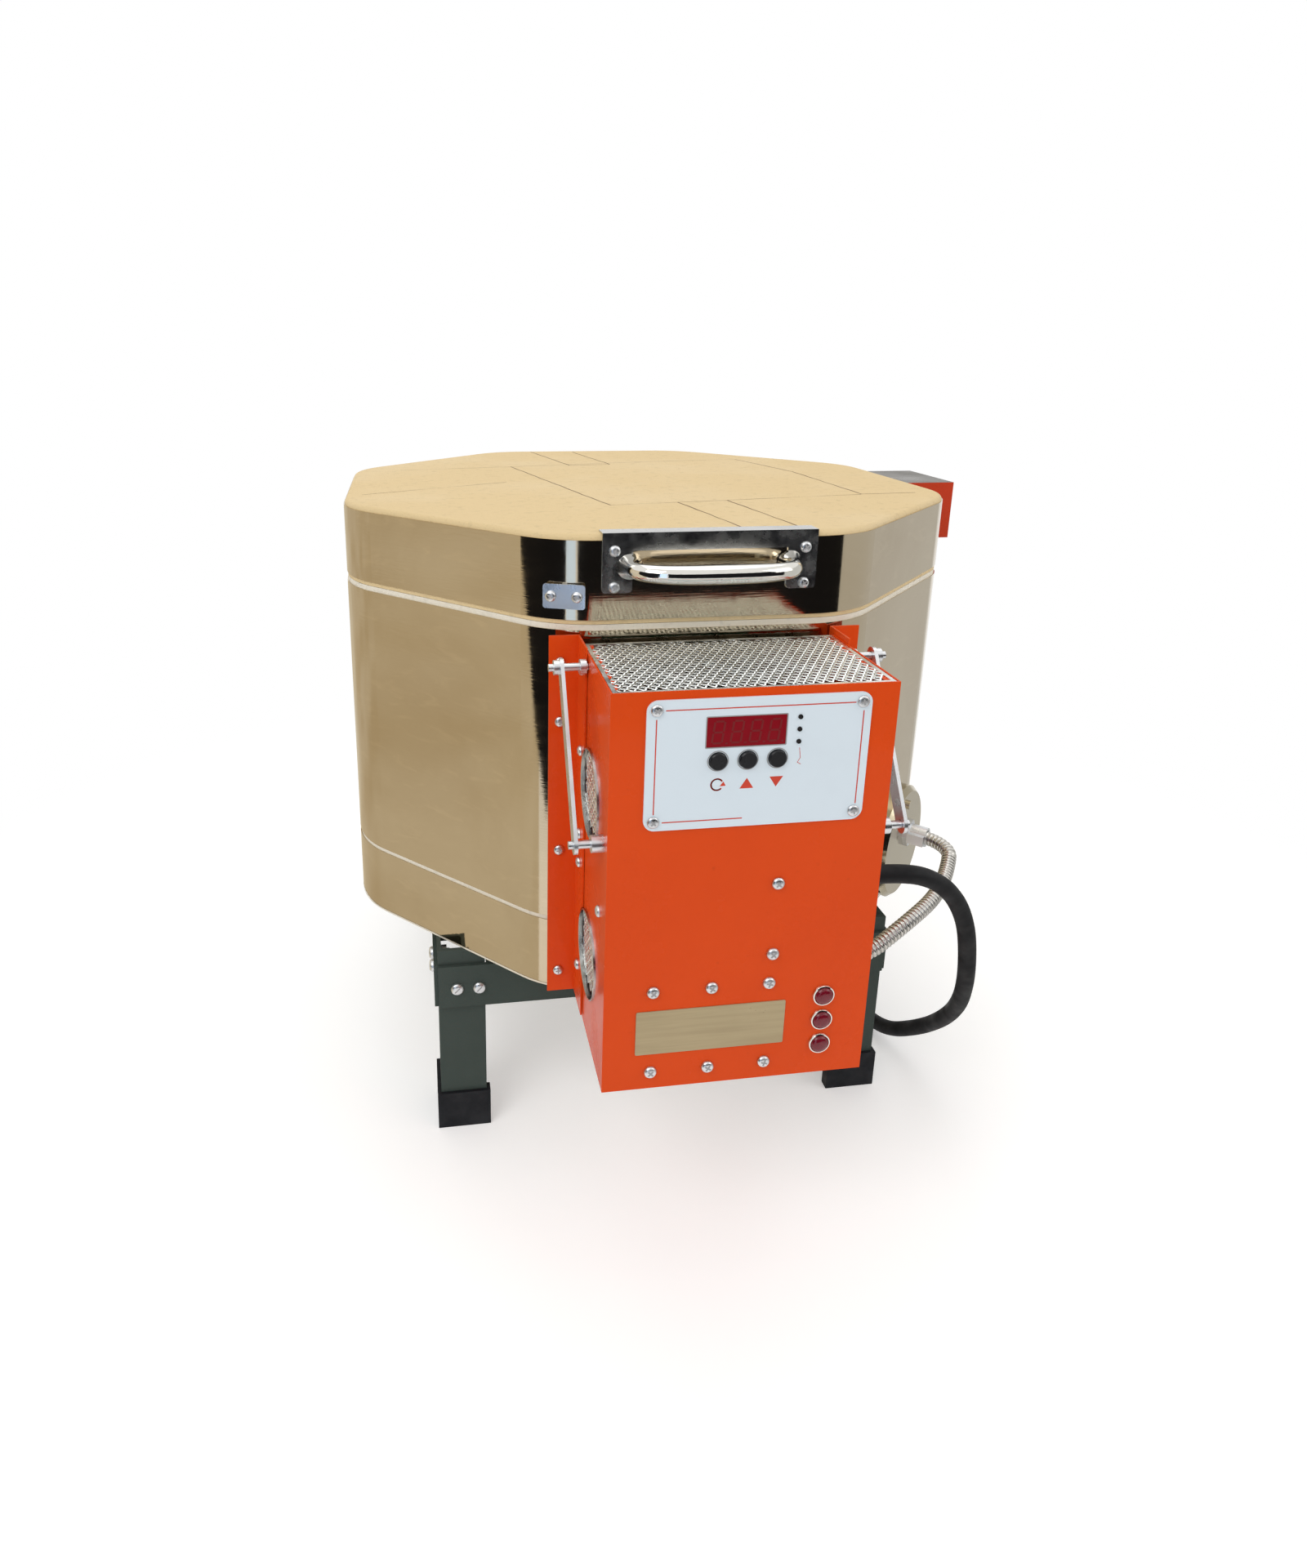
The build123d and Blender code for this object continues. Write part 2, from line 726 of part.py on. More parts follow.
def build_lid():
    slab = prism(octagon(brick_flats, brick_radius), lid_bottom, slab_thickness)
    slab = fillet(slab.edges().group_by(Axis.Z)[-1], lid_edge_round)
    for flats in (lid_element_flats, lid_element_inner_flats):
        ring = octagon(flats + groove_height) - octagon(flats - groove_height)
        slab -= prism(ring, lid_bottom, groove_depth)
    half = groove_height / 2
    slab -= block(
        (lid_element_inner_flats / 2, element_gap_half - half, lid_bottom),
        (lid_element_flats / 2, element_gap_half + half, lid_bottom + groove_depth),
    )
    for x, y, z in lid_tail_places():
        slab -= rod((x, y, z), (1, 0, 0), tail_radius + seat_gap, across_flats)
    save(slab, "lid_slab")

    skin = octagon(across_flats, corner_radius) - octagon(brick_flats, brick_radius)
    band = prism(skin, band_low, band_high - band_low)
    for x, y, z in lid_tail_places():
        band -= rod((x, y, z), (1, 0, 0), tail_radius + seat_gap, across_flats)
    save(band, "lid_band")

    outer, inner = lid_element_turns()
    save(element_body(outer, inner), "lid_element")
    tails = []
    for x, y, z in lid_tail_places():
        tails.append(rod((x, y, z), (1, 0, 0), tail_radius, jacket_half + lid_tail_inside - x))
    save_group(tails, "lid_element_tails")

    box_low = band_low + lid_box_rise
    low = (jacket_half, lid_box_front, box_low)
    high = (jacket_half + lid_box_width, lid_box_front + lid_box_length, box_low + lid_box_height)
    case = block(low, high)
    inner_low = [a + sheet_gauge for a in low]
    inner_high = [b - sheet_gauge for b in high[:2]] + [high[2] + 1]
    case -= block(inner_low, inner_high)
    for x, y, z in lid_tail_places():
        case -= rod((x, y, z), (1, 0, 0), tail_radius + seat_gap, jacket_half + 2 * sheet_gauge - x)
    save(case, "lid_terminal_box")
    cover = block((low[0], low[1], high[2]), (high[0], high[1], high[2] + lid_box_cover))
    save(cover, "lid_terminal_cover")

    face = -jacket_half
    top = lid_top
    bracket = block(
        (-bracket_half_width, face - bracket_gauge, top - bracket_band),
        (bracket_half_width, face, top + bracket_gauge),
    )
    bracket += block(
        (-bracket_half_width, face - bracket_gauge, top),
        (bracket_half_width, face + bracket_lip, top + bracket_gauge),
    )
    tab_middle = bracket_half_width - tab_width / 2
    for side in (-1, 1):
        tab = block(
            (side * tab_middle - tab_width / 2, face - bracket_gauge, top - tab_drop),
            (side * tab_middle + tab_width / 2, face, top - bracket_band + 1),
        )
        tab = fillet(tab.edges().filter_by(Axis.Y).group_by(Axis.Z)[0], tab_corner)
        bracket += tab
    screws = []
    for side in (-1, 1):
        for drop in tab_screw_drops:
            x = side * (tab_middle + tab_screw_out)
            bracket -= screw_hole((x, face, top - drop), (0, -1, 0))
            screws.append(screw((x, face - bracket_gauge, top - drop), (0, -1, 0), bracket_gauge))
    save(bracket, "handle_bracket")

    root_y = face - bracket_gauge
    height = top - handle_drop
    front_y = root_y - handle_reach + handle_bar_radius
    path = FilletPolyline(
        (-handle_half_span, root_y, height),
        (-handle_half_span, front_y, height),
        (handle_half_span, front_y, height),
        (handle_half_span, root_y, height),
        radius=handle_bend_radius,
    )
    bow = tube(path, handle_bar_radius)
    for side in (-1, 1):
        root = Plane(origin=(side * handle_half_span, root_y, height), z_dir=(0, -1, 0))
        bow += root * Cone(
            handle_root_radius, handle_bar_radius, handle_root_length, align=standing
        )
    save(bow, "lid_handle")

    turn = math.radians(clamp_turn)
    flat_half = (jacket_half - corner_radius) * math.tan(math.radians(22.5))
    centre_y = -jacket_half + corner_radius
    outward = Vector(-math.sin(turn), -math.cos(turn), 0)
    bend_middle = Vector(-flat_half, centre_y, band_low + clamp_rise)
    spot = bend_middle + outward * (corner_radius + clamp_gauge)
    along = Vector(math.cos(turn), -math.sin(turn), 0)
    clamp_plane = Plane(origin=spot, x_dir=along, z_dir=outward)
    plate = RectangleRounded(clamp_width, clamp_height, clamp_corner)
    clamp = extrude(clamp_plane * plate, clamp_gauge)
    clamp += clamp_plane * Box(2 * clamp_gauge, clamp_height, clamp_gauge, align=hanging)
    skin_solid = prism(octagon(across_flats, corner_radius), band_low, band_high - band_low)
    clamp -= skin_solid
    clamp_screws = []
    for side in (-1, 1):
        place = spot + along * (side * clamp_screw_half) + outward * clamp_gauge
        hole_start = place - outward * (2 * clamp_gauge)
        clamp -= rod(hole_start, outward, screw_hole_radius, 4 * clamp_gauge)
        clamp_screws.append(screw(place, outward, clamp_gauge))
    save(clamp, "lid_clamp")
    save_group(screws + clamp_screws, "lid_screws")


# ---------------------------------------------------------------- hinge


def knuckle_plate(inner_x, plate_low, plate_high, side):
    """Ear that joins a mounting plate to the knuckle round the hinge pin."""
    face = jacket_half + hinge_gauge
    corners = [(face, plate_low), (face, plate_high)]
    ear_plane = Plane(origin=(side * inner_x, 0, 0), x_dir=(0, 1, 0), z_dir=(side, 0, 0))
    knuckle = Pos(hinge_y, hinge_z) * Circle(knuckle_radius)
    if side < 0:
        knuckle = Pos(hinge_y, -hinge_z) * Circle(knuckle_radius)
        corners = [(y, -z) for y, z in corners]
    outline = make_hull(Polyline(*corners).edges() + knuckle.edges())
    return extrude(ear_plane * outline, hinge_gauge)


def build_hinge():
    face = jacket_half
    base_high = jacket_high - base_plate_drop
    base_low = base_high - base_plate_height
    leaf_low = hinge_z + leaf_plate_rise
    leaf_high = leaf_low + leaf_plate_height
    bore_half = pin_half_length + bore_overrun
    bore = rod(
        (-bore_half, hinge_y, hinge_z), (1, 0, 0), pin_radius + pin_clearance, 2 * bore_half
    )
    for name, half, low, high in (
        ("hinge_base", base_half_width, base_low, base_high),
        ("hinge_leaf", leaf_half_width, leaf_low, leaf_high),
    ):
        plate = block((-half, face, low), (half, face + hinge_gauge, high))
        plate = fillet(plate.edges().filter_by(Axis.Y), hinge_corner)
        ear_low = low + knuckle_root_inset
        ear_high = high - knuckle_root_inset
        for side in (-1, 1):
            plate += knuckle_plate(half - hinge_gauge, ear_low, ear_high, side)
            for z in (low + hinge_screw_inset, high - hinge_screw_inset):
                place = (side * half * hinge_screw_share, face + hinge_gauge, z)
                plate += screw(place, (0, 1, 0), hinge_gauge / 2)
        save(plate - bore, name)
    left = (-pin_half_length, hinge_y, hinge_z)
    right = (pin_half_length, hinge_y, hinge_z)
    pin = rod(left, (1, 0, 0), pin_radius, 2 * pin_half_length)
    pin += rod(left, (-1, 0, 0), pin_head_radius, pin_head)
    pin += rod(right, (1, 0, 0), pin_head_radius, pin_head)
    save(pin, "hinge_pin")


# ---------------------------------------------------------------- control box


def vent_places():
    """Centres of the side vents, as (y, z)."""
    y = box_front + vent_from_front
    return [(y, box_bottom + share * box_height) for share in vent_shares]


def wall_screw_places():
    """Screws through each mounting angle's wall into the box, as (y, z)."""
    y = -jacket_half - wall_screw_forward
    return [(y, box_bottom + share * box_height) for share in wall_screw_shares]


def flange_screw_heights():
    """Heights of the screws that fasten each mounting angle to the kiln's wall."""
    return [box_bottom + share * box_height for share in flange_screw_shares]


def side_screw_place():
    """Screw that closes the box's side return, near its front edge, as (y, z)."""
    return (box_front + side_screw_back, box_bottom + side_screw_share * box_height)


def mesh_panel(width, height):
    """Flat expanded-metal sheet with a plain border."""
    sheet = Rectangle(width, height)
    return sheet - diamond_field(width - 2 * mesh_border, height - 2 * mesh_border)


def plate_screw_places():
    """The four corner screws of the controller plate, as (x, z)."""
    half_w = plate_width / 2 - plate_screw_inset
    half_h = plate_height / 2 - plate_screw_inset
    places = []
    for side in (-1, 1):
        for end in (-1, 1):
            places.append((plate_shift + side * half_w, plate_middle + end * half_h))
    return places


def button_places():
    """The three buttons in a row under the display, as (x, z)."""
    return [(button_shift + k * button_pitch, box_top - button_drop) for k in range(3)]


def led_places():
    """The three status lights in a column beside the display, as (x, z)."""
    return [(led_shift, box_top - led_drop - k * led_pitch) for k in range(3)]


def lamp_places():
    """The three pilot lamps at the panel's lower right, as (x, z)."""
    return [(lamp_shift, box_bottom + rise) for rise in lamp_heights]


def front_cut(radius, place):
    """Round hole through the controller plate and the front panel."""
    x, z = place
    return rod((x, box_front - through / 2, z), (0, 1, 0), radius, through)


def window_middle():
    """Middle of the display window, as (x, z)."""
    return (window_shift, box_top - window_drop - window_height / 2)


def window_block(margin, front, back):
    """Block of the display window's outline with a margin all round."""
    x, z = window_middle()
    half_w = window_width / 2 + margin
    half_h = window_height / 2 + margin
    return block((x - half_w, front, z - half_h), (x + half_w, back, z + half_h))


def window_cut():
    """Opening for the display window through the plate and the panel."""
    return window_block(window_fit, box_front - through / 2, box_front + through / 2)


def side_point(side, y, z):
    """A place on the outside of one side of the box."""
    return (side * box_half, y, z)


def side_hole(side, y, z, radius):
    """Round hole through one side of the box and the mounting angle on it."""
    start = (side * (box_half - through / 2), y, z)
    return rod(start, (side, 0, 0), radius, through)


def strap_ends():
    """Top stud and foot rod of a brace strap, as (y, z)."""
    top = (-jacket_half - strap_top_back, jacket_high - strap_top_drop)
    foot = (box_front + strap_foot_front, box_bottom + strap_foot_rise)
    return top, foot


def build_control_box():
    low = (-box_half, box_front, box_bottom)
    high = (box_half, box_back, box_top)
    shell = block(low, high)
    shell -= block(
        (low[0] + sheet_gauge, low[1] + sheet_gauge, low[2] + sheet_gauge),
        (high[0] - sheet_gauge, high[1] + 1, high[2] + 1),
    )
    ledge = sheet_gauge + mesh_border
    shelf_top = box_top - mesh_gauge
    for side in (-1, 1):
        inner = side * (box_half - sheet_gauge)
        edge = side * (box_half - ledge)
        shell += block(
            (min(inner, edge), panel_back, shelf_top - sheet_gauge),
            (max(inner, edge), box_back, shelf_top),
        )
    for y, z in vent_places():
        for side in (-1, 1):
            shell -= side_hole(side, y, z, vent_radius)
    for place in plate_screw_places() + [(x, box_bottom + z) for x, z in front_screw_places]:
        shell -= front_cut(screw_hole_radius, place)
    for place in button_places():
        shell -= front_cut(button_radius + button_fit, place)
    for place in led_places():
        shell -= front_cut(led_radius + led_fit, place)
    for place in lamp_places():
        shell -= front_cut(lamp_radius + lamp_fit, place)
    shell -= window_cut()
    for side in (-1, 1):
        for y, z in wall_screw_places() + [side_screw_place()]:
            shell -= screw_hole(side_point(side, y, z), (side, 0, 0))
    shell -= side_hole(1, gland_y, gland_z, gland_thread_radius + hole_clearance)
    shell -= side_hole(1, conduit_box_y, conduit_box_z, spigot_radius + hole_clearance)
    save(shell, "control_box")

    panel_length = box_back - panel_back
    panel = mesh_panel(box_width - 2 * sheet_gauge - sheet_fit, panel_length - sheet_fit)
    centre_y = (box_back + panel_back) / 2
    save(extrude(Pos(0, centre_y, shelf_top) * panel, mesh_gauge), "top_mesh_panel")

    discs = []
    disc = Circle(vent_radius + vent_lip) - round_diamond_field(vent_radius)
    for side in (-1, 1):
        for y, z in vent_places():
            inside = side * (box_half - sheet_gauge)
            plane = Plane(origin=(inside, y, z), x_dir=(0, 1, 0), z_dir=(-side, 0, 0))
            discs.append(extrude(plane * disc, vent_gauge))
    save_group(discs, "side_vents")

    baffle_half = box_half - sheet_gauge - sheet_fit
    baffle = block(
        (-baffle_half, baffle_front, box_bottom + sheet_gauge),
        (baffle_half, baffle_back, shelf_top - sheet_gauge - sheet_fit),
    )
    before = baffle_front - through / 2
    for course in range(2):
        for x, z in tail_places(course):
            baffle -= rod((x, before, z), (0, 1, 0), bushing_radius + seat_gap, through)
    sheath_hole = sheath_radius + seat_gap
    baffle -= rod((0, before, thermocouple_height()), (0, 1, 0), sheath_hole, through)
    save(baffle, "rear_baffle")


def build_mounting_angles():
    """The two angles that hold the box to the kiln, and the screws in them and the box."""
    screws = []
    for side, name in ((-1, "mounting_angle_left"), (1, "mounting_angle_right")):
        face = -jacket_half
        near = side * mounting_inner
        far = side * mounting_outer
        wall = block(
            (min(near, far), face - mounting_wall_depth, mounting_low),
            (max(near, far), face, mounting_high),
        )
        tip = side * (mounting_outer + mounting_flange)
        wall += block(
            (min(near, tip), face - sheet_gauge, mounting_low),
            (max(near, tip), face, mounting_high),
        )
        for y, z in vent_places():
            wall -= side_hole(side, y, z, vent_radius + vent_lip / 2)
        for y, z in wall_screw_places():
            wall -= screw_hole((far, y, z), (side, 0, 0))
            screws.append(screw((far, y, z), (side, 0, 0)))
        for z in flange_screw_heights():
            x = side * (mounting_outer + flange_screw_out)
            wall -= screw_hole((x, face - sheet_gauge, z), (0, -1, 0))
            screws.append(screw((x, face - sheet_gauge, z), (0, -1, 0), sheet_gauge))
        (y, z), _ = strap_ends()
        wall -= side_hole(side, y, z, stud_radius + hole_clearance)
        if side > 0:
            wall -= side_hole(side, conduit_box_y, conduit_box_z, spigot_radius + hole_clearance)
        save(wall, name)
        y, z = side_screw_place()
        screws.append(screw(side_point(side, y, z), (side, 0, 0)))
    return screws


def build_front_panel(box_screws):
    outline = RectangleRounded(plate_width, plate_height, plate_corner)
    plane = Plane(origin=(plate_shift, box_front, plate_middle), x_dir=(1, 0, 0), z_dir=(0, -1, 0))
    plate = extrude(plane * outline, plate_gauge)
    for place in plate_screw_places():
        plate -= front_cut(screw_hole_radius, place)
    for place in button_places():
        plate -= front_cut(button_radius + button_fit, place)
    for place in led_places():
        plate -= front_cut(led_radius + led_fit, place)
    plate -= window_cut()
    save(plate, "controller_plate")

    screws = list(box_screws)
    for x, z in plate_screw_places():
        screws.append(screw((x, plate_front, z), (0, -1, 0)))
    for x, rise in front_screw_places:
        screws.append(screw((x, box_front, box_bottom + rise), (0, -1, 0)))
    save_group(screws, "box_screws")

    window_back = panel_back + window_behind_panel
    save(window_block(0, plate_front, window_back), "display_window")

    board_front = box_front + board_back
    board = block(
        (plate_shift - board_width / 2, board_front, plate_middle - board_height / 2),
        (plate_shift + board_width / 2, board_front + board_gauge, plate_middle + board_height / 2),
    )
    for x, z in button_places():
        half = switch_size / 2
        board += block(
            (x - half, board_front - switch_height, z - half), (x + half, board_front, z + half)
        )
    for sx in (-1, 1):
        for sz in (-1, 1):
            x = plate_shift + sx * (board_width / 2 - standoff_radius)
            z = plate_middle + sz * (board_height / 2 - standoff_radius)
            board += rod((x, board_front, z), (0, -1, 0), standoff_radius, board_front - panel_back)
    board += window_block(0, window_back + display_clearance, board_front)
    save(board, "controller_board")

    names = ("button_program", "button_up", "button_down")
    for name, (x, z) in zip(names, button_places()):
        face = plate_front - button_proud
        flange_front = panel_back + button_fit
        cap = rod((x, face, z), (0, 1, 0), button_radius, flange_front - face)
        cap = chamfer(cap.edges().group_by(Axis.Y)[0], button_bevel)
        cap += rod((x, flange_front, z), (0, 1, 0), button_flange_radius, button_flange)
        stem_end = board_front - switch_height - button_travel - button_fit
        stem_start = flange_front + button_flange
        cap += rod((x, stem_start, z), (0, 1, 0), button_stem_radius, stem_end - stem_start)
        save(cap, name)

    leds = []
    led_front = plate_front - led_proud
    for x, z in led_places():
        leds.append(rod((x, led_front, z), (0, 1, 0), led_radius, board_front - led_front))
    save_group(leds, "status_leds")

    bezels = []
    lenses = []
    for x, z in lamp_places():
        ring = rod((x, box_front, z), (0, -1, 0), bezel_radius, bezel_proud)
        ring -= front_cut(lamp_radius + lamp_fit, (x, z))
        bezels.append(ring)
        lens = rod((x, box_front + lamp_depth, z), (0, -1, 0), lamp_radius, lamp_depth + lens_proud)
        lens = chamfer(lens.edges().group_by(Axis.Y)[0], lens_bevel)
        lenses.append(lens)
    save_group(bezels, "pilot_bezels")
    save_group(lenses, "pilot_lenses")


def build_box_inside():
    low_z = box_bottom + relay_rise
    relay = block(
        (relay_shift - relay_width / 2, baffle_front - relay_depth, low_z),
        (relay_shift + relay_width / 2, baffle_front, low_z + relay_height),
    )
    save(chamfer(relay.edges().group_by(Axis.Y)[0], relay_bevel), "power_relay")
    strip_z = box_bottom + strip_rise
    strip = block(
        (strip_shift - strip_width / 2, baffle_front - strip_depth, strip_z),
        (strip_shift + strip_width / 2, baffle_front, strip_z + strip_height),
    )
    half = strip_cell_width / 2
    for k in range(strip_cells):
        x = strip_shift + (k - (strip_cells - 1) / 2) * strip_width / strip_cells
        strip -= block(
            (x - half, baffle_front - strip_depth, strip_z + strip_rim),
            (x + half, baffle_front - strip_depth / 2, strip_z + strip_height - strip_rim),
        )
    save(strip, "terminal_strip")
    core_z = box_bottom + transformer_rise
    core = block(
        (transformer_shift - transformer_width / 2, baffle_front - transformer_depth, core_z),
        (transformer_shift + transformer_width / 2, baffle_front, core_z + transformer_height),
    )
    core_front = baffle_front - transformer_depth
    winding_low = core_z + winding_inset
    winding_high = core_z + transformer_height - winding_inset
    winding = block(
        (transformer_shift - winding_width / 2, core_front - winding_proud, winding_low),
        (transformer_shift + winding_width / 2, core_front, winding_high),
    )
    save(core + winding, "transformer")


def build_braces():
    (top_y, top_z), (foot_y, foot_z) = strap_ends()
    span = math.hypot(foot_y - top_y, foot_z - top_z)
    straps = []
    studs = []
    for side in (-1, 1):
        inner = mounting_outer + strap_offset
        plane = Plane(
            origin=(side * inner, (top_y + foot_y) / 2, (top_z + foot_z) / 2),
            x_dir=(0, top_y - foot_y, top_z - foot_z),
            z_dir=(side, 0, 0),
        )
        outline = SlotCenterToCenter(span, strap_width)
        hole = Circle(stud_radius + hole_clearance)
        outline -= [Pos(span / 2, 0) * hole, Pos(-span / 2, 0) * hole]
        straps.append(extrude(plane * outline, strap_gauge))
        top = rod(
            (side * (box_half + sheet_fit), top_y, top_z), (side, 0, 0), stud_radius,
            inner - box_half + strap_gauge + stud_end,
        )
        for nut_start in (mounting_outer, inner + strap_gauge):
            nut_place = (side * nut_start, top_y, top_z)
            top += rod(nut_place, (side, 0, 0), stud_nut_radius, stud_nut_height)
        studs.append(top)
        foot = rod(
            (side * box_half, foot_y, foot_z), (side, 0, 0), stud_radius,
            inner - box_half + strap_gauge + foot_rod_end,
        )
        foot += rod((side * box_half, foot_y, foot_z), (side, 0, 0), boss_radius, boss_length)
        studs.append(foot)
    save_group(straps, "side_braces")
    save_group(studs, "brace_studs")


# ---------------------------------------------------------------- junction cover and conduit

diagonal = math.sqrt(0.5)
flat_out = Vector(diagonal, -diagonal, 0)
flat_along = Vector(diagonal, diagonal, 0)


def corner_radii(points):
    """The largest arc that each corner's two runs allow."""
    radii = []
    for before, corner, after in zip(points, points[1:], points[2:]):
        arriving = Vector(*corner) - Vector(*before)
        leaving = Vector(*after) - Vector(*corner)
        half_turn = math.radians(arriving.get_angle(leaving)) / 2
        shorter = min(arriving.length, leaving.length)
        radii.append(0.45 * shorter / math.tan(half_turn))
    return radii


def flat_place(out, along, z):
    """A place by the front right flat: out from the axis, along the flat, and up."""
    spot = flat_out * out + flat_along * along
    return Vector(spot.X, spot.Y, z)


def connector(base, outward, wall):
    """Squeeze connector on a wall: its body, and the locknut behind the wall."""
    plane = Plane(origin=base, z_dir=outward)
    body = extrude(hexagon(shoulder_flats), shoulder_height)
    body += Cylinder(connector_radius, connector_length, align=standing)
    lug_height = connector_length - shoulder_height
    sideways = (Align.MIN, Align.CENTER, Align.MIN)
    lug = Box(squeeze_lug_reach, squeeze_lug_width, lug_height, align=sideways)
    body += Pos(0, 0, shoulder_height) * lug
    body += Cylinder(spigot_radius, spigot_length, align=hanging)
    socket = Cylinder(conduit_radius + conduit_socket_clearance, connector_length, align=standing)
    body -= Pos(0, 0, connector_length - connector_socket) * socket
    body -= Cylinder(conduit_bore_radius, 4 * connector_length)
    nut = Circle(locknut_radius) - Circle(spigot_radius + seat_gap / 2)
    nut = extrude(Pos(0, 0, -wall - locknut_height) * nut, locknut_height)
    return [plane * body, plane * nut]


def conduit_path():
    """From one connector's socket, out and round, into the other's."""
    tip = connector_length - connector_socket
    start = Vector(mounting_outer + tip, conduit_box_y, conduit_box_z)
    leaves = Vector(mounting_outer + conduit_run_at_box, conduit_box_y, conduit_box_z)
    face = jacket_half + junction_depth
    height = kiln_bottom + conduit_face_rise
    arrives = flat_place(face + conduit_run_at_cover, conduit_face_along, height)
    finish = flat_place(face + tip, conduit_face_along, height)
    way = arrives - leaves
    points = [start, leaves]
    for right, back, up in conduit_corners:
        points.append(leaves + Vector(right * way.X, back * way.Y, up * way.Z))
    points += [arrives, finish]
    return FilletPolyline(*points, radius=corner_radii(points))


def ribbed_tube(path):
    """Corrugated tube: four circles to a rib, ruled, with a plain bore."""
    ribs = int(path.length / conduit_rib_pitch)
    pitch = path.length / ribs
    marks = []
    for k in range(ribs):
        for share, radius in (
            (0.0, conduit_root_radius),
            (0.2, conduit_radius),
            (0.6, conduit_radius),
            (0.8, conduit_root_radius),
        ):
            marks.append(((k + share) * pitch, radius))
    marks.append((path.length, conduit_root_radius))
    rings = []
    for distance, radius in marks:
        place = path.position_at(distance, position_mode=PositionMode.LENGTH)
        heading = path.tangent_at(distance, position_mode=PositionMode.LENGTH)
        across = heading.cross(Vector(0, 0, 1))
        rings.append(Plane(origin=place, x_dir=across, z_dir=heading) * Circle(radius))
    return loft(rings, ruled=True) - tube(path, conduit_bore_radius)


def build_conduit():
    base = flat_place(jacket_half, junction_along, kiln_bottom + junction_rise)
    cover_plane = Plane(origin=base, x_dir=flat_along, z_dir=flat_out)
    cover = Cylinder(junction_radius, junction_depth, align=standing)
    cover = chamfer(cover.edges().group_by(Axis.Z)[-1], junction_edge_bevel)
    inner_radius = junction_radius - junction_gauge
    inside = Cylinder(inner_radius, junction_depth - junction_gauge, align=standing)
    inside = chamfer(inside.edges().group_by(Axis.Z)[-1], junction_edge_bevel)
    cover = cover_plane * (cover - inside)
    face = jacket_half + junction_depth
    entry = flat_place(face, conduit_face_along, kiln_bottom + conduit_face_rise)
    behind = entry - flat_out * (through / 2)
    cover -= rod(behind, flat_out, spigot_radius + hole_clearance, through)
    screws = []
    for side in (-1, 1):
        place = cover_plane * Pos(0, side * junction_screw_radius, junction_depth)
        screws.append(screw(place.position, flat_out, junction_depth))
        cover -= screw_hole(place.position, flat_out)
    save_group([cover] + screws, "junction_cover")

    wall = mounting_outer - box_half + sheet_gauge
    box_end = connector((mounting_outer, conduit_box_y, conduit_box_z), (1, 0, 0), wall)
    cover_end = connector(entry, flat_out, junction_gauge)
    save_group(box_end + cover_end, "conduit_connectors")
    save(ribbed_tube(conduit_path()), "flex_conduit")


# ---------------------------------------------------------------- power cord

cord_floor = cord_radius + cord_lay_clearance
coil_pitch = 2 * cord_radius + coil_turn_gap
coil_turns = 2 * coil_layer_turns + coil_climb_turns
coil_start_radius = coil_mean_radius + coil_pitch / 2
coil_centre_y = stand_half_width + coil_behind_stand
cord_start_x = box_half + gland_flange + gland_taper


def cord_route():
    """Corners of the cord's way from the gland, down, and along the floor to the coil."""
    drop = gland_z - cord_floor
    points = [(cord_start_x, gland_y, gland_z)]
    for right, back, left in cord_fall:
        points.append((cord_start_x + right, gland_y + back, cord_floor + left * drop))
    start_x = coil_centre_x + coil_start_radius
    for right, back in cord_run:
        points.append((start_x + right, coil_centre_y + back, cord_floor))
    points.append((start_x, coil_centre_y, cord_floor))
    return points


def coil_place(turn):
    """Centre of the cord after so many turns of the coil, and its heading there."""
    middle = coil_turns / 2
    radius = coil_start_radius - coil_pitch * (middle - abs(turn - middle))
    rate = -coil_pitch if turn < middle else coil_pitch
    if turn in (0, middle, coil_turns):
        rate = 0
    climbed = min(max((turn - coil_layer_turns) / coil_climb_turns, 0), 1)
    climb_rate = coil_pitch / coil_climb_turns if 0 < climbed < 1 else 0
    angle = 2 * math.pi * turn
    outward = Vector(math.cos(angle), math.sin(angle), 0)
    around = Vector(-math.sin(angle), math.cos(angle), 0)
    place = Vector(coil_centre_x, coil_centre_y, cord_floor + climbed * coil_pitch) + outward * radius
    heading = outward * rate + around * (2 * math.pi * radius) + Vector(0, 0, climb_rate)
    return place, heading.normalized()


def biarc(first, first_heading, last, last_heading):
    """Two arcs that leave one place and reach another along the given headings."""
    span = last - first
    both = first_heading + last_heading
    square = 2 * first_heading.dot(last_heading) - 2
    linear = -2 * span.dot(both)
    reach = (-linear - math.sqrt(linear**2 - 4 * square * span.dot(span))) / (2 * square)
    near = first + first_heading * reach
    far = last - last_heading * reach
    joint = (near + far) / 2
    return [
        TangentArc(first, joint, tangent=first_heading),
        TangentArc(joint, last, tangent=far - near),
    ]


def coil_path():
    """Two layers of turns, in and out again, and the straight tail that holds the plug."""
    quarters = int(4 * coil_turns)
    edges = []
    for k in range(quarters):
        first, first_heading = coil_place(k / 4)
        last, last_heading = coil_place((k + 1) / 4)
        edges += biarc(first, first_heading, last, last_heading)
    edges.append(Line(last, last + last_heading * cord_tail))
    return Wire([piece.edge() for piece in edges])


def least_gap(path, step=4.0):
    """Least space between parts of the coil that lie over half a turn apart."""
    count = int(path.length / step)
    places = []
    for k in range(count + 1):
        places.append(path.position_at(k * path.length / count, position_mode=PositionMode.LENGTH))
    apart = int(math.pi * coil_mean_radius / step)
    gap = coil_mean_radius
    for k, place in enumerate(places):
        for other in places[k + apart:]:
            gap = min(gap, (place - other).length - 2 * cord_radius)
    return gap


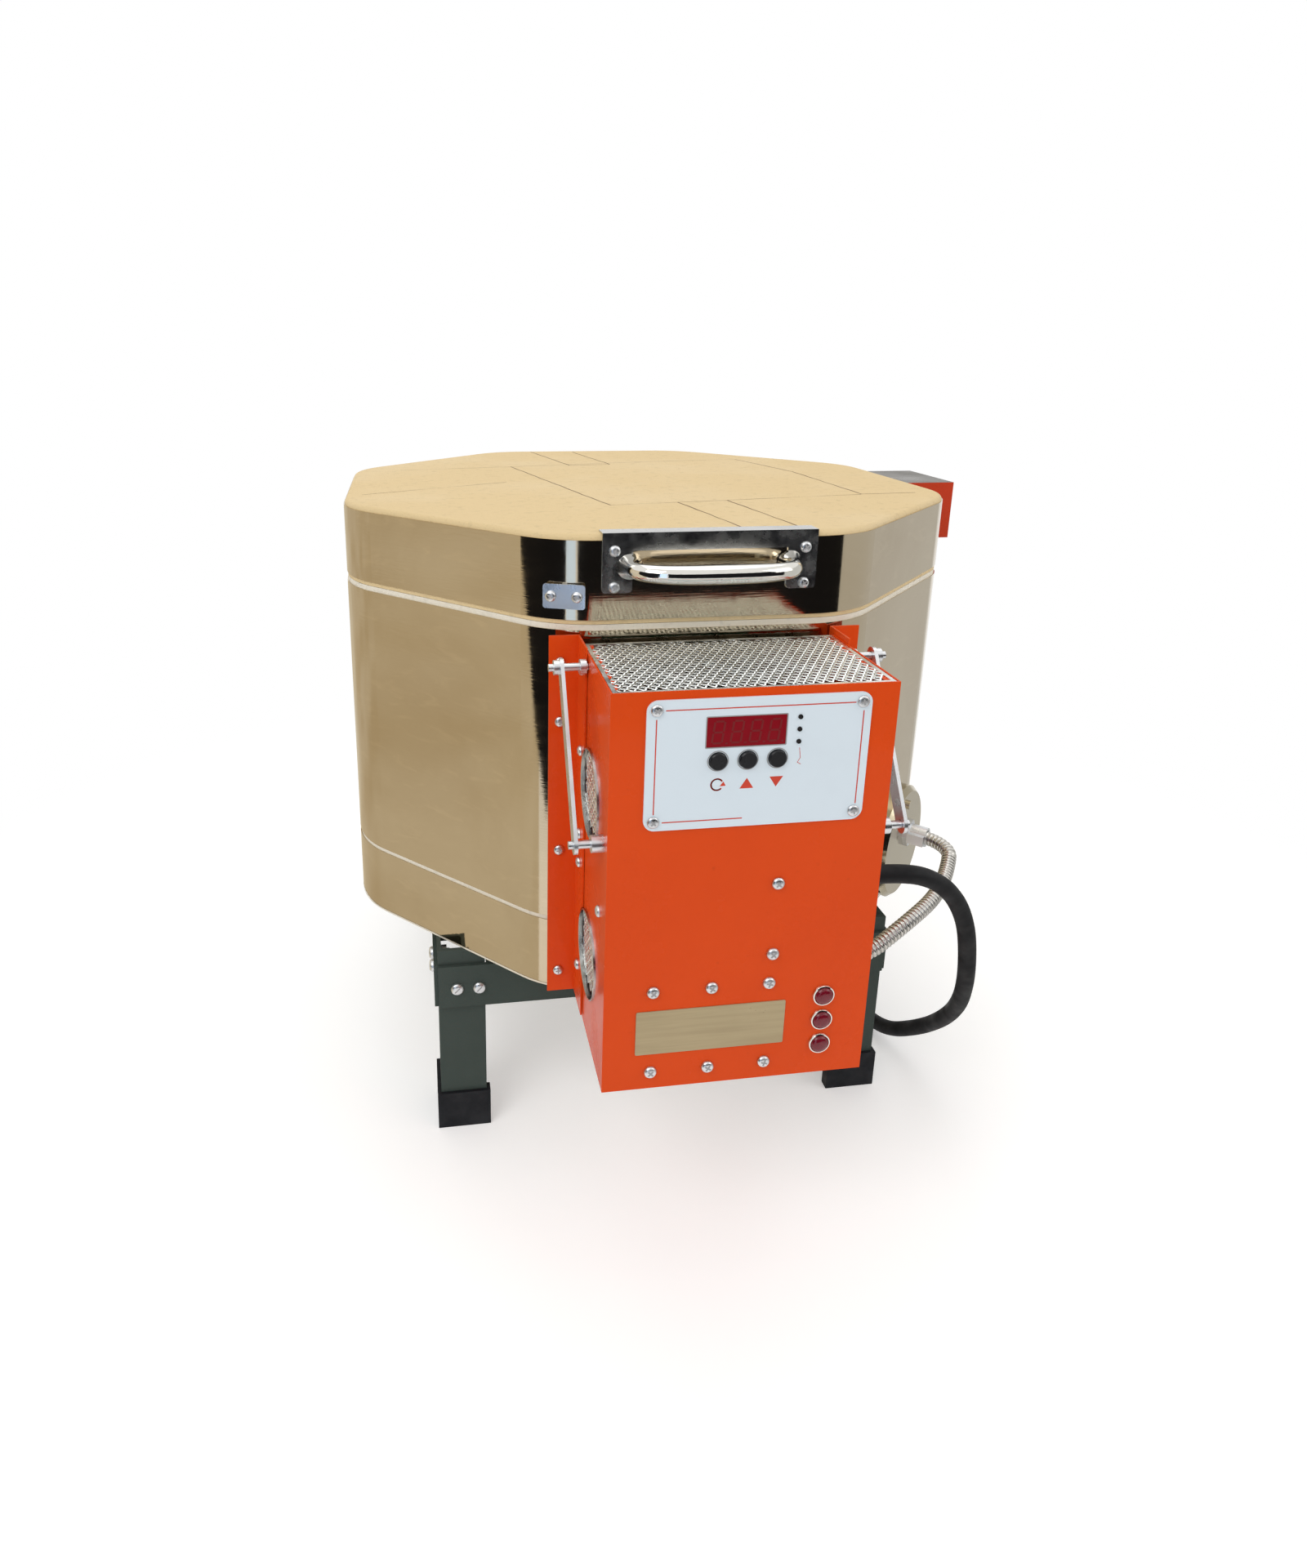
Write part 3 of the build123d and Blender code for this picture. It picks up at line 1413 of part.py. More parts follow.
def build_plug(start, heading):
    """Moulded plug with two blades and an earth pin, its neck at the cord's end."""
    low = plug_neck_length
    profile = make_face(
        Polyline(
            (0, 0),
            (plug_neck_radius, 0),
            (plug_neck_flare, low),
            (plug_radius, low + plug_taper),
            (plug_radius, low + plug_length),
            (0, low + plug_length),
            close=True,
        )
    )
    body = revolve(Plane.XZ * profile, Axis.Z)
    body = chamfer(body.edges().group_by(Axis.Z)[-1], plug_edge_bevel)
    tip = low + plug_length
    for side in (-1, 1):
        blade = Box(blade_gauge, blade_width, blade_length, align=standing)
        body += Pos(side * blade_spacing / 2, 0, tip) * blade
    body += Pos(0, -earth_pin_drop, tip) * Cylinder(earth_pin_radius, blade_length, align=standing)
    place = Plane(origin=start, x_dir=(1, 0, 0), z_dir=heading)
    save(place * body, "power_plug")


def build_power_cord():
    gland = Cylinder(gland_flange_radius, gland_flange, align=standing)
    taper = Cone(gland_base_radius, gland_tip_radius, gland_taper, align=standing)
    gland += Pos(0, 0, gland_flange) * taper
    gland += Cylinder(gland_thread_radius, sheet_gauge + gland_nut_height, align=hanging)
    gland += Pos(0, 0, -sheet_gauge) * Cylinder(gland_nut_radius, gland_nut_height, align=hanging)
    save(Plane(origin=(box_half, gland_y, gland_z), z_dir=(1, 0, 0)) * gland, "cord_gland")

    route = cord_route()
    radii = corner_radii(route)
    path = FilletPolyline(*route, radius=radii)
    cord = tube(path, cord_radius)
    save(cord, "power_cord")
    coil = coil_path()
    wound = tube(coil, cord_radius)
    save(wound, "cord_coil")
    build_plug(coil @ 1, coil % 1)
    section = math.pi * cord_radius**2
    print("cord corner radii", [round(radius) for radius in radii])
    print("cord volume over section times length", cord.volume / (section * path.length))
    print("coil volume over section times length", wound.volume / (section * coil.length))
    print("least gap of the coil to itself", round(least_gap(coil), 2))
    print("cord length", round(path.length), "+", round(coil.length))


# ---------------------------------------------------------------- build

build_stand()
build_fired_body()
build_lid()
build_hinge()
build_control_box()
build_front_panel(build_mounting_angles())
build_box_inside()
build_braces()
build_conduit()
build_power_cord()
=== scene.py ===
import json
import math

import bpy
from mathutils import Matrix, Vector


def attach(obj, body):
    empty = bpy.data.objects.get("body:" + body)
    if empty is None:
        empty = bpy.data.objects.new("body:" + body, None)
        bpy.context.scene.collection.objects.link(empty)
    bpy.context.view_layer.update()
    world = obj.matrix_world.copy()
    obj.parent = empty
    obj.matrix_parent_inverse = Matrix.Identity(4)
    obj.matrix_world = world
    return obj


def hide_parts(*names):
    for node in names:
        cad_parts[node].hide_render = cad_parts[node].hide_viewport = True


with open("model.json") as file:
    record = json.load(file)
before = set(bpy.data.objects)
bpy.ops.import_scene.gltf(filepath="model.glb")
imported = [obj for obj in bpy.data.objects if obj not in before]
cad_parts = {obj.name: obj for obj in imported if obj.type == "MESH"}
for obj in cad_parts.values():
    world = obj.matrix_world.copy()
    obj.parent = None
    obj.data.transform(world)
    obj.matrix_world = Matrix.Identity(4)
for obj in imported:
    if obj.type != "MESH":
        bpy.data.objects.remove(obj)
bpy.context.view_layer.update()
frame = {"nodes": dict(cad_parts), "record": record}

# ---------------- sizes

# Sizes are in millimetres, and places are taken from the axis of the firing chamber, as in the
# part's source. The stage, the lamps and the depths of relief are in metres.
CHAMBER_AXIS = Vector((-0.0255, 0.0426, 0.0))

JACKET_HALF = 254.0
CORNER_RADIUS = 75.0
CORNER_REACH = JACKET_HALF - CORNER_RADIUS
CORNER_SHIFT = CORNER_REACH * math.tan(math.radians(22.5))
KILN_BOTTOM = 170.0
SLAB_THICKNESS = 62.0
COURSE_HEIGHT = 112.5
LID_GAP = 0.3
FLOOR_TOP = KILN_BOTTOM + SLAB_THICKNESS
LID_BOTTOM = FLOOR_TOP + 2 * COURSE_HEIGHT + LID_GAP
LID_TOP = LID_BOTTOM + SLAB_THICKNESS
SHEET_GAUGE = 1.2
FLANGE_FRONT = -JACKET_HALF - SHEET_GAUGE
BOX_HEIGHT = 277.0
BOX_TOP = KILN_BOTTOM + BOX_HEIGHT
BOX_HALF = 89.0
BOX_FRONT = -362.0
BOX_BACK = -262.0
PLATE_FRONT = BOX_FRONT - SHEET_GAUGE
MOUNTING_OUTER = 90.5


def at(x, y, z):
    """A place by the chamber's axis, in metres in the model's frame."""
    return Vector((x, y, z)) / 1000 + CHAMBER_AXIS


def up_box(share):
    """A level on the control box, by its share of the box's height."""
    return KILN_BOTTOM + BOX_HEIGHT * share


def add_object(name, data):
    made = bpy.data.objects.new(name, data)
    bpy.context.collection.objects.link(made)
    return made


# ---------------- camera

PHOTO_WIDTH = 1600
PHOTO_HEIGHT = 1920
SENSOR_HEIGHT = 36
CAMERA_PLACE = (-197.5, -891.3, 643.9)


def make_camera():
    """The photograph's view, with the focal length and centre in its pixels."""
    yaw, pitch, roll = 0.1457, 0.281, 0.0077
    focal, centre_x, centre_y = 1216.0, 683.5, 765.5
    forward = Vector(
        (math.sin(yaw) * math.cos(pitch), math.cos(yaw) * math.cos(pitch), -math.sin(pitch))
    )
    level = Vector((math.cos(yaw), -math.sin(yaw), 0))
    upright = level.cross(forward)
    right = level * math.cos(roll) + upright * math.sin(roll)
    up = upright * math.cos(roll) - level * math.sin(roll)
    data = bpy.data.cameras.new("camera")
    data.sensor_fit = "VERTICAL"
    data.sensor_height = SENSOR_HEIGHT
    data.lens = focal * SENSOR_HEIGHT / PHOTO_HEIGHT
    data.shift_x = (PHOTO_WIDTH / 2 - centre_x) / PHOTO_HEIGHT
    data.shift_y = (centre_y - PHOTO_HEIGHT / 2) / PHOTO_HEIGHT
    data.clip_start = 0.01
    camera = add_object("camera", data)
    turn = Matrix((right, up, -forward)).transposed().to_4x4()
    camera.matrix_world = Matrix.Translation(at(*CAMERA_PLACE)) @ turn
    bpy.context.scene.camera = camera


make_camera()

# ---------------- materials


def add_node(tree, kind, *sources, **inputs):
    """A node whose first inputs are linked to sources, and others linked or set by name."""
    made = tree.nodes.new(kind)
    for place, source in enumerate(sources):
        tree.links.new(source, made.inputs[place])
    for socket, value in inputs.items():
        target = made.inputs[socket.replace("_", " ")]
        if isinstance(value, bpy.types.NodeSocket):
            tree.links.new(value, target)
        else:
            target.default_value = value
    return made


def toned(tone, share):
    """A darker or paler tone of the same hue."""
    return [min(1.0, share * c) for c in tone]


class Paint:
    """A Principled material and its node tree, with the object's own coordinates."""

    def __init__(self, name, colour, roughness, metallic=0.0, **sockets):
        self.material = bpy.data.materials.new(name)
        self.material.use_nodes = True
        self.tree = self.material.node_tree
        self.shader = self.tree.nodes["Principled BSDF"]
        self.coordinates = self.node("ShaderNodeTexCoord")
        self.set("Base Color", (*colour, 1.0))
        self.set("Roughness", roughness)
        self.set("Metallic", metallic)
        for socket, value in sockets.items():
            self.set(socket.replace("_", " "), value)
        self.material.diffuse_color = (*colour, 1.0)
        self.bumps = None

    def set(self, socket, value):
        self.shader.inputs[socket].default_value = value

    def link(self, source, target):
        self.tree.links.new(source, target)

    def node(self, kind, **inputs):
        return add_node(self.tree, kind, **inputs)

    def noise(self, scale, detail=4.0, rough=0.55, stretch=None, distortion=0.0):
        """A noise value; stretch multiplies the coordinates along each axis."""
        vector = self.coordinates.outputs["Object"]
        if stretch:
            vector = self.node("ShaderNodeMapping", Vector=vector, Scale=stretch).outputs[0]
        made = self.node(
            "ShaderNodeTexNoise",
            Vector=vector, Scale=scale, Detail=detail, Roughness=rough, Distortion=distortion,
        )
        return made.outputs["Fac"]

    def cells(self, scale):
        """Distance to the nearest of scattered cells."""
        vector = self.coordinates.outputs["Object"]
        return self.node("ShaderNodeTexVoronoi", Vector=vector, Scale=scale).outputs["Distance"]

    def band(self, value, low, high, first=0.0, last=1.0):
        """A value stretched between two limits."""
        made = self.node(
            "ShaderNodeMapRange", Value=value, From_Min=low, From_Max=high, To_Min=first, To_Max=last
        )
        return made.outputs[0]

    def facing_up(self):
        """One on the object's own upper faces, wherever its body turns, and nothing elsewhere."""
        normal = self.coordinates.outputs["Normal"]
        return self.band(self.node("ShaderNodeSeparateXYZ", Vector=normal).outputs["Z"], 0.6, 0.9)

    def tint(self, amount, colour, socket="Base Color"):
        """A colour of the shader turned towards another one by an amount."""
        mix = self.node("ShaderNodeMix")
        mix.data_type = "RGBA"
        self.link(amount, mix.inputs["Factor"])
        target = self.shader.inputs[socket]
        if target.is_linked:
            self.link(target.links[0].from_socket, mix.inputs["A"])
        else:
            mix.inputs["A"].default_value = target.default_value
        mix.inputs["B"].default_value = (*colour, 1.0)
        self.link(mix.outputs["Result"], target)

    def gloss(self, value, low, high):
        """Roughness between two limits, by a value."""
        self.link(self.band(value, 0.3, 0.7, low, high), self.shader.inputs["Roughness"])

    def bump(self, value, depth, strength=1.0):
        """Relief of a depth in metres, on top of what is there."""
        made = self.node("ShaderNodeBump", Height=value, Distance=depth, Strength=strength)
        if self.bumps:
            self.link(self.bumps.outputs[0], made.inputs["Normal"])
        self.link(made.outputs[0], self.shader.inputs["Normal"])
        self.bumps = made


def firebrick(name, tone, stain):
    """Soft porous brick: speckles, open pores, chalky patches and darker grains."""
    paint = Paint(name, tone, 0.92, Specular_IOR_Level=0.25)
    patches = paint.noise(9.0, 5.0)
    paint.tint(paint.band(patches, 0.45, 0.72, 0.0, 0.55), stain)
    paint.tint(paint.band(paint.noise(140.0, 3.0), 0.56, 0.72, 0.0, 0.35), toned(tone, 0.72))
    paint.tint(paint.band(paint.cells(420.0), 0.16, 0.05, 0.0, 0.45), toned(tone, 0.42))
    paint.bump(paint.cells(700.0), 0.0006, 0.35)
    paint.bump(paint.noise(60.0, 6.0), 0.0012, 0.35)
    return paint.material


def sheet_steel(name, tone, shade, roughness):
    """Polished stainless sheet: soft oil-canning, smudges mixed with painted darker reflection, and
    faint rolling lines.
    """
    paint = Paint(name, tone, roughness, 1.0)
    smudge_and_dark_reflection = paint.noise(7.0, 6.0, 0.6, distortion=0.6)
    # Smudges, and a painted darker reflection of the room, towards the shade colour in patches.
    paint.tint(paint.band(smudge_and_dark_reflection, 0.42, 0.68, 0.0, 0.5), shade)
    wipes = paint.noise(26.0, 5.0, 0.6, stretch=(1.0, 1.0, 3.5), distortion=0.8)
    paint.tint(paint.band(wipes, 0.55, 0.75, 0.0, 0.22), toned(tone, 1.3))
    paint.gloss(wipes, roughness * 0.75, roughness * 1.5)
    paint.bump(paint.noise(5.0, 2.0), 0.004, 0.25)
    paint.bump(paint.noise(900.0, 2.0, stretch=(0.05, 0.05, 1.0)), 0.0001, 0.25)
    return paint.material


def enamel(name, tone, dark, roughness=0.24, peel=0.35):
    """Sprayed enamel: fine orange peel, slight tone drift and dulled spots."""
    paint = Paint(name, tone, roughness, Specular_IOR_Level=0.08, Coat_Weight=0.08, Coat_Roughness=0.06)
    paint.tint(paint.band(paint.noise(11.0, 5.0), 0.42, 0.72, 0.0, 0.3), dark)
    paint.tint(paint.band(paint.noise(160.0, 3.0), 0.66, 0.8, 0.0, 0.25), toned(dark, 0.6))
    paint.gloss(paint.noise(24.0, 5.0), roughness * 0.8, roughness * 1.35)
    paint.bump(paint.noise(520.0, 2.0), 0.00025, peel)
    return paint.material


def bright_metal(name, tone, roughness, spots=0.2):
    """Plated or polished metal with fine scratches and dull spots."""
    paint = Paint(name, tone, roughness, 1.0)
    paint.tint(paint.band(paint.noise(38.0, 5.0), 0.5, 0.72, 0.0, spots), toned(tone, 0.62))
    paint.gloss(paint.noise(90.0, 4.0), roughness * 0.7, roughness * 1.5)
    paint.bump(paint.noise(700.0, 2.0, stretch=(1.0, 0.2, 1.0)), 0.00008, 0.3)
    return paint.material


def moulding(name, tone, roughness, grain=900.0, depth=0.0001):
    """Moulded rubber or plastic with a fine grain and worn, paler patches."""
    paint = Paint(name, tone, roughness, Specular_IOR_Level=0.3)
    paler = [min(1.0, 1.8 * c + 0.004) for c in tone]
    paint.tint(paint.band(paint.noise(30.0, 5.0), 0.5, 0.78, 0.0, 0.4), paler)
    paint.gloss(paint.noise(55.0, 4.0), roughness * 0.8, min(1.0, roughness * 1.3))
    paint.bump(paint.noise(grain, 2.0), depth, 0.4)
    return paint.material


def two_tone_paint():
    """Orange enamel, darker than the control box's orange to paint the lid box's shade, and brown-grey
    on its upper faces.
    """
    # The darker orange is painted shade.
    paint = Paint("lid_box_shaded_paint", (0.60, 0.050, 0.014), 0.3, Specular_IOR_Level=0.16)
    paint.tint(paint.band(paint.noise(11.0, 5.0), 0.42, 0.72, 0.0, 0.4), (0.46, 0.045, 0.014))
    paint.tint(paint.facing_up(), (0.105, 0.095, 0.080))
    paint.gloss(paint.noise(24.0, 5.0), 0.24, 0.42)
    paint.bump(paint.noise(520.0, 2.0), 0.00025, 0.35)
    return paint.material


def heated_wire():
    """Resistance wire with a burnt, mottled oxide skin."""
    paint = Paint("heated_wire", (0.10, 0.085, 0.075), 0.55, 0.7)
    paint.tint(paint.band(paint.noise(160.0, 3.0), 0.5, 0.7, 0.0, 0.8), (0.24, 0.19, 0.16))
    paint.bump(paint.noise(1400.0, 2.0), 0.0001, 0.4)
    return paint.material


def printed_plate():
    """White printed aluminium face with a hint of grain and soft dirt."""
    paint = Paint("printed_plate", (0.77, 0.87, 0.95), 0.38, Specular_IOR_Level=0.2)
    paint.tint(paint.band(paint.noise(14.0, 4.0), 0.5, 0.75, 0.0, 0.3), (0.66, 0.74, 0.82))
    paint.bump(paint.noise(1200.0, 2.0), 0.00004, 0.3)
    return paint.material


def champagne_plate():
    """Brushed, gilt-toned plate."""
    paint = Paint("champagne_plate", (0.44, 0.35, 0.20), 0.4, 0.3)
    brushed = paint.noise(420.0, 3.0, stretch=(0.04, 1.0, 1.0))
    paint.tint(paint.band(brushed, 0.4, 0.65, 0.0, 0.5), (0.35, 0.27, 0.15))
    paint.gloss(paint.noise(40.0, 4.0), 0.26, 0.44)
    paint.bump(brushed, 0.00008, 0.35)
    return paint.material


def display_window():
    """Dark red display window: deep, glossy, a shade lighter in its middle."""
    paint = Paint("display_red", (0.25, 0.003, 0.010), 0.2, Specular_IOR_Level=0.12)
    paint.tint(paint.band(paint.noise(60.0, 3.0), 0.4, 0.7, 0.0, 0.6), (0.27, 0.006, 0.014))
    paint.bump(paint.noise(220.0, 2.0), 0.00005, 0.2)
    return paint.material


def lamp_lens():
    """Ribbed dark red lamp lens."""
    paint = Paint("lamp_red", (0.13, 0.003, 0.012), 0.16, Specular_IOR_Level=0.5)
    paint.tint(paint.band(paint.cells(900.0), 0.2, 0.6, 0.0, 0.6), (0.22, 0.004, 0.018))
    paint.bump(paint.cells(1100.0), 0.0002, 0.3)
    return paint.material


MATERIALS = {
    "champagne": champagne_plate(),
    "display_tint": display_window(),
    "face_paint": printed_plate(),
    "heating_wire": heated_wire(),
    "lens_plastic": lamp_lens(),
    "lid_box_shaded_paint": two_tone_paint(),
}
LOOKS = {
    firebrick: {
        "firebrick": ((0.86, 0.80, 0.68), (0.80, 0.70, 0.52)),
        "lid_brick": ((0.77, 0.595, 0.335), (0.81, 0.655, 0.42)),
    },
    sheet_steel: {
        # Warm tan steel tones: the room's warm reflection painted into the steel's colour; the second
        # colour is painted darker reflection
        "stainless_skin": ((0.55, 0.465, 0.335), (0.46, 0.37, 0.25), 0.07),
        "cover_steel": ((0.46, 0.40, 0.28), (0.30, 0.25, 0.17), 0.12),
    },
    enamel: {
        "stand_paint": ((0.062, 0.082, 0.073), (0.036, 0.048, 0.043), 0.5, 0.5),
        "box_paint": ((0.79, 0.077, 0.008), (0.67, 0.058, 0.006)),
    },
    bright_metal: {
        "zinc_hardware": ((0.68, 0.69, 0.70), 0.3, 0.3),
        "bracket_steel": ((0.50, 0.50, 0.49), 0.22, 0.3),
        "chrome_parts": ((0.76, 0.74, 0.69), 0.07, 0.12),
        "galvanised_mesh": ((0.88, 0.91, 0.90), 0.3, 0.25),
        "conduit_steel": ((0.58, 0.56, 0.52), 0.28, 0.4),
        "brass": ((0.72, 0.53, 0.24), 0.25, 0.3),
    },
    moulding: {
        "brick_joint": ((0.22, 0.145, 0.085), 0.9),
        "ceramic": ((0.74, 0.70, 0.62), 0.55, 1500.0),
        "foot_rubber": ((0.008, 0.009, 0.012), 0.7),
        "cord_rubber": ((0.004, 0.004, 0.005), 0.62, 400.0),
        "segment_red": ((0.20, 0.008, 0.010), 0.35),
        "button_plastic": ((0.010, 0.010, 0.012), 0.28, 600.0),
        "led_plastic": ((0.012, 0.010, 0.010), 0.25, 600.0),
        "board_laminate": ((0.02, 0.10, 0.045), 0.45, 300.0),
        "black_plastic": ((0.014, 0.014, 0.014), 0.5),
        "core_iron": ((0.09, 0.085, 0.08), 0.6, 120.0),
        "print_red": ((0.66, 0.060, 0.030), 0.45),
        # Painted shade: the grey of screw crosses, bolt slots and the rims round the buttons and the
        # window
        "recess": ((0.36, 0.36, 0.37), 0.5),
    },
}
for make, looks in LOOKS.items():
    MATERIALS.update({name: make(name, *look) for name, look in looks.items()})

NODE_FINISHES = {
    "lid_slab": "lid_brick",
    "junction_cover": "cover_steel",
    "handle_bracket": "bracket_steel",
    "lid_terminal_box": "lid_box_shaded_paint",
    "lid_terminal_cover": "lid_box_shaded_paint",
}


def dress_nodes():
    """Every node of the model gets the finish of its slot, or its own where one is named."""
    slots = {part["node"]: part["material_slot"] for part in frame["record"]["subparts"]}
    for name, node in frame["nodes"].items():
        finish = MATERIALS[NODE_FINISHES.get(name, slots[name])]
        if not node.material_slots:
            node.data.materials.append(finish)
        for place in node.material_slots:
            place.material = finish


dress_nodes()

# ---------------- mesh making


def ring_faces(rows, sides, closed=False):
    """Faces between rows of points, each row a ring; closed joins the last row to the first."""
    faces = []
    for row in range(rows if closed else rows - 1):
        low, high = row * sides, (row + 1) % rows * sides
        for k in range(sides):
            follow = (k + 1) % sides
            faces.append((low + k, low + follow, high + follow, high + k))
    return faces


class Shape:
    """Faces gathered for one piece, with places in millimetres by the chamber's axis."""

    def __init__(self):
        self.points = []
        self.faces = []
        self.finishes = []

    def add(self, points, faces, finish=0):
        start = len(self.points)
        self.points += [Vector(point) for point in points]
        self.faces += [[start + k for k in face] for face in faces]
        self.finishes += [finish] * len(faces)

    def turned(self, profile, place, axis, finish=0, sides=24, closed=False):
        """A profile of (radius, height) turned round an axis, closed on itself or at its ends."""
        axis = Vector(axis).normalized()
        across = axis.orthogonal().normalized()
        around = axis.cross(across)
        points = []
        for radius, height in profile:
            for k in range(sides):
                angle = 2 * math.pi * k / sides
                spoke = across * math.cos(angle) + around * math.sin(angle)
                points.append(Vector(place) + axis * height + spoke * radius)
        faces = ring_faces(len(profile), sides, closed)
        if not closed:
            last = (len(profile) - 1) * sides
            faces += [tuple(reversed(range(sides))), tuple(range(last, last + sides))]
        self.add(points, faces, finish)

    def swept(self, stations, sides=20):
        """A round bar through stations of (place, heading, radius)."""
        points = []
        for place, heading, radius in stations:
            across = heading.cross(Vector((0, 0, 1))).normalized()
            up = across.cross(heading)
            for k in range(sides):
                angle = 2 * math.pi * k / sides
                points.append(place + (across * math.cos(angle) + up * math.sin(angle)) * radius)
        self.add(points, ring_faces(len(stations), sides))

    def slab(self, outline, place, right, normal, height, finish=0):
        """A flat outline of (u, v), raised along the normal; right is the direction of u."""
        right = Vector(right).normalized()
        normal = Vector(normal).normalized()
        up = normal.cross(right)
        base = [Vector(place) + right * u + up * v for u, v in outline]
        raised = [point + normal * height for point in base]
        count = len(outline)
        caps = [tuple(reversed(range(count))), tuple(range(count, 2 * count))]
        self.add(base + raised, caps + ring_faces(2, count), finish)

    def piece(self, name, body, finishes, crease=35.0, bevel=0.0, replaces=()):
        mesh = bpy.data.meshes.new(name)
        mesh.from_pydata([at(*point) for point in self.points], [], self.faces)
        for finish in finishes:
            mesh.materials.append(MATERIALS[finish])
        mesh.polygons.foreach_set("material_index", self.finishes)
        mesh.polygons.foreach_set("use_smooth", [True] * len(mesh.polygons))
        mesh.set_sharp_from_angle(angle=math.radians(crease))
        mesh.update()
        made = add_object(name, mesh)
        if bevel:
            edge = made.modifiers.new("edge", "BEVEL")
            edge.width = bevel
            edge.segments = 2
            edge.limit_method = "ANGLE"
            edge.angle_limit = math.radians(40)
        return settle(made, body, replaces)


def settle(made, body, replaces=()):
    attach(made, body)
    if replaces:
        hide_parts(*replaces)
    return made


def circle(radius, sides):
    """Outline of a regular polygon."""
    angles = [2 * math.pi * k / sides for k in range(sides)]
    return [(radius * math.cos(angle), radius * math.sin(angle)) for angle in angles]


def rounded(width, height, radius, steps=6):
    """Outline of a rectangle with rounded corners."""
    outline = []
    for quarter, (sx, sy) in enumerate(((1, 1), (-1, 1), (-1, -1), (1, -1))):
        for k in range(steps + 1):
            angle = math.pi / 2 * (quarter + k / steps)
            x = sx * (width / 2 - radius) + radius * math.cos(angle)
            y = sy * (height / 2 - radius) + radius * math.sin(angle)
            outline.append((x, y))
    return outline


def route_curve(name, points, radius):
    """One open smooth curve along control points given in metres."""
    data = bpy.data.curves.new(name, "CURVE")
    data.dimensions = "3D"
    spline = data.splines.new("NURBS")
    spline.points.add(len(points) - 1)
    for point, place in zip(spline.points, points):
        point.co = (*place, 1.0)
    spline.order_u = 3
    spline.use_endpoint_u = True
    spline.resolution_u = 8
    data.bevel_depth = radius
    data.bevel_resolution = 6
    data.use_fill_caps = True
    return add_object(name, data)


# ---------------- power cord

CORD_RADIUS = 6.75
CORD_FLOOR = 7.0
GLAND_TIP = (116.0, -302.0, 280.0)
COIL_CENTRE = (112.0, 310.0)
COIL_START_RADIUS = 81.15
COIL_PITCH = 14.3
COIL_TAIL = 34.0
CORD_END = Vector(
    (COIL_CENTRE[0] + COIL_START_RADIUS, COIL_CENTRE[1] + COIL_TAIL, CORD_FLOOR + COIL_PITCH)
)
PLUG_LENGTH = 65.0
TIE_LEFT = 74.0

# Right of the gland's tip, back from it, and the share of its height that is left
CORD_FALL = [
    (24.0, 0.0, 1.0), (50.0, 3.0, 0.965), (72.0, 10.0, 0.89), (90.0, 20.0, 0.78),
    (103.0, 32.0, 0.645), (114.0, 46.0, 0.505), (124.0, 67.0, 0.37), (130.0, 96.0, 0.238),
    (129.0, 129.0, 0.114), (115.0, 161.0, 0.018),
]
# Right of the coil's start and back from its centre, on the floor
CORD_RUN = [
    (29.0, -410.0), (33.0, -358.0), (42.0, -298.0), (46.0, -238.0),
    (41.0, -178.0), (28.0, -123.0), (11.0, -74.0), (0.0, -32.0),
]


def cord_points():
    """The cord's route: the fall from the gland, the run on the floor, the coil, the tail."""
    tip_x, tip_y, tip_z = GLAND_TIP
    coil_x, coil_y = COIL_CENTRE
    points = [at(*GLAND_TIP)]
    for right, back, left in CORD_FALL:
        points.append(at(tip_x + right, tip_y + back, CORD_FLOOR + left * (tip_z - CORD_FLOOR)))
    for right, back in CORD_RUN:
        points.append(at(CORD_END.x + right, coil_y + back, CORD_FLOOR))
    per_turn = 16
    for k in range(2 * per_turn + 1):
        turn = k / per_turn
        radius = COIL_START_RADIUS - COIL_PITCH * (1 - abs(turn - 1))
        climbed = min(max((turn - 0.75) / 0.5, 0.0), 1.0)
        angle = 2 * math.pi * turn
        x = coil_x + radius * math.cos(angle)
        y = coil_y + radius * math.sin(angle)
        points.append(at(x, y, CORD_FLOOR + climbed * COIL_PITCH))
    for back in (COIL_TAIL / 2, COIL_TAIL):
        points.append(at(CORD_END.x, coil_y + back, CORD_END.z))
    return points


def make_plug():
    """Ribbed strain relief, gripped body, two blades and an earth pin."""
    shape = Shape()
    profile = [(7.0, -1.0), (8.4, 0.0)]
    for rib in range(6):
        low = 2.6 * rib
        profile += [(8.9, low + 0.4), (8.9, low + 1.7), (7.6, low + 1.9), (7.6, low + 2.7)]
    profile += [(10.2, 17.0), (10.4, 19.0), (12.5, 22.0), (17.0, 28.0), (20.0, 32.0), (20.8, 36.0)]
    for groove in range(4):
        low = 38.0 + 5 * groove
        profile += [(20.8, low), (20.0, low + 1.2), (20.0, low + 2.6), (20.8, low + 3.8)]
    profile += [(20.9, 59.0), (20.7, 62.5), (19.4, 64.4), (18.0, PLUG_LENGTH)]
    shape.turned(profile, CORD_END, (0, 1, 0), 0, 40)
    face = CORD_END + Vector((0, PLUG_LENGTH, 0))
    for side in (-6.35, 6.35):
        foot = face + Vector((side, -1, 0))
        shape.slab(rounded(1.6, 6.4, 0.4, 2), foot, (1, 0, 0), (0, 1, 0), 17.0, 1)
    pin = [(2.4, -1), (2.4, 14), (1.8, 16.2), (1.0, 17)]
    shape.turned(pin, face + Vector((0, 0, 11.9)), (0, 1, 0), 1, 16)
    finishes = ["cord_rubber", "brass"]
    return shape.piece("mains_plug", "kiln", finishes, 50, replaces=("power_plug",))


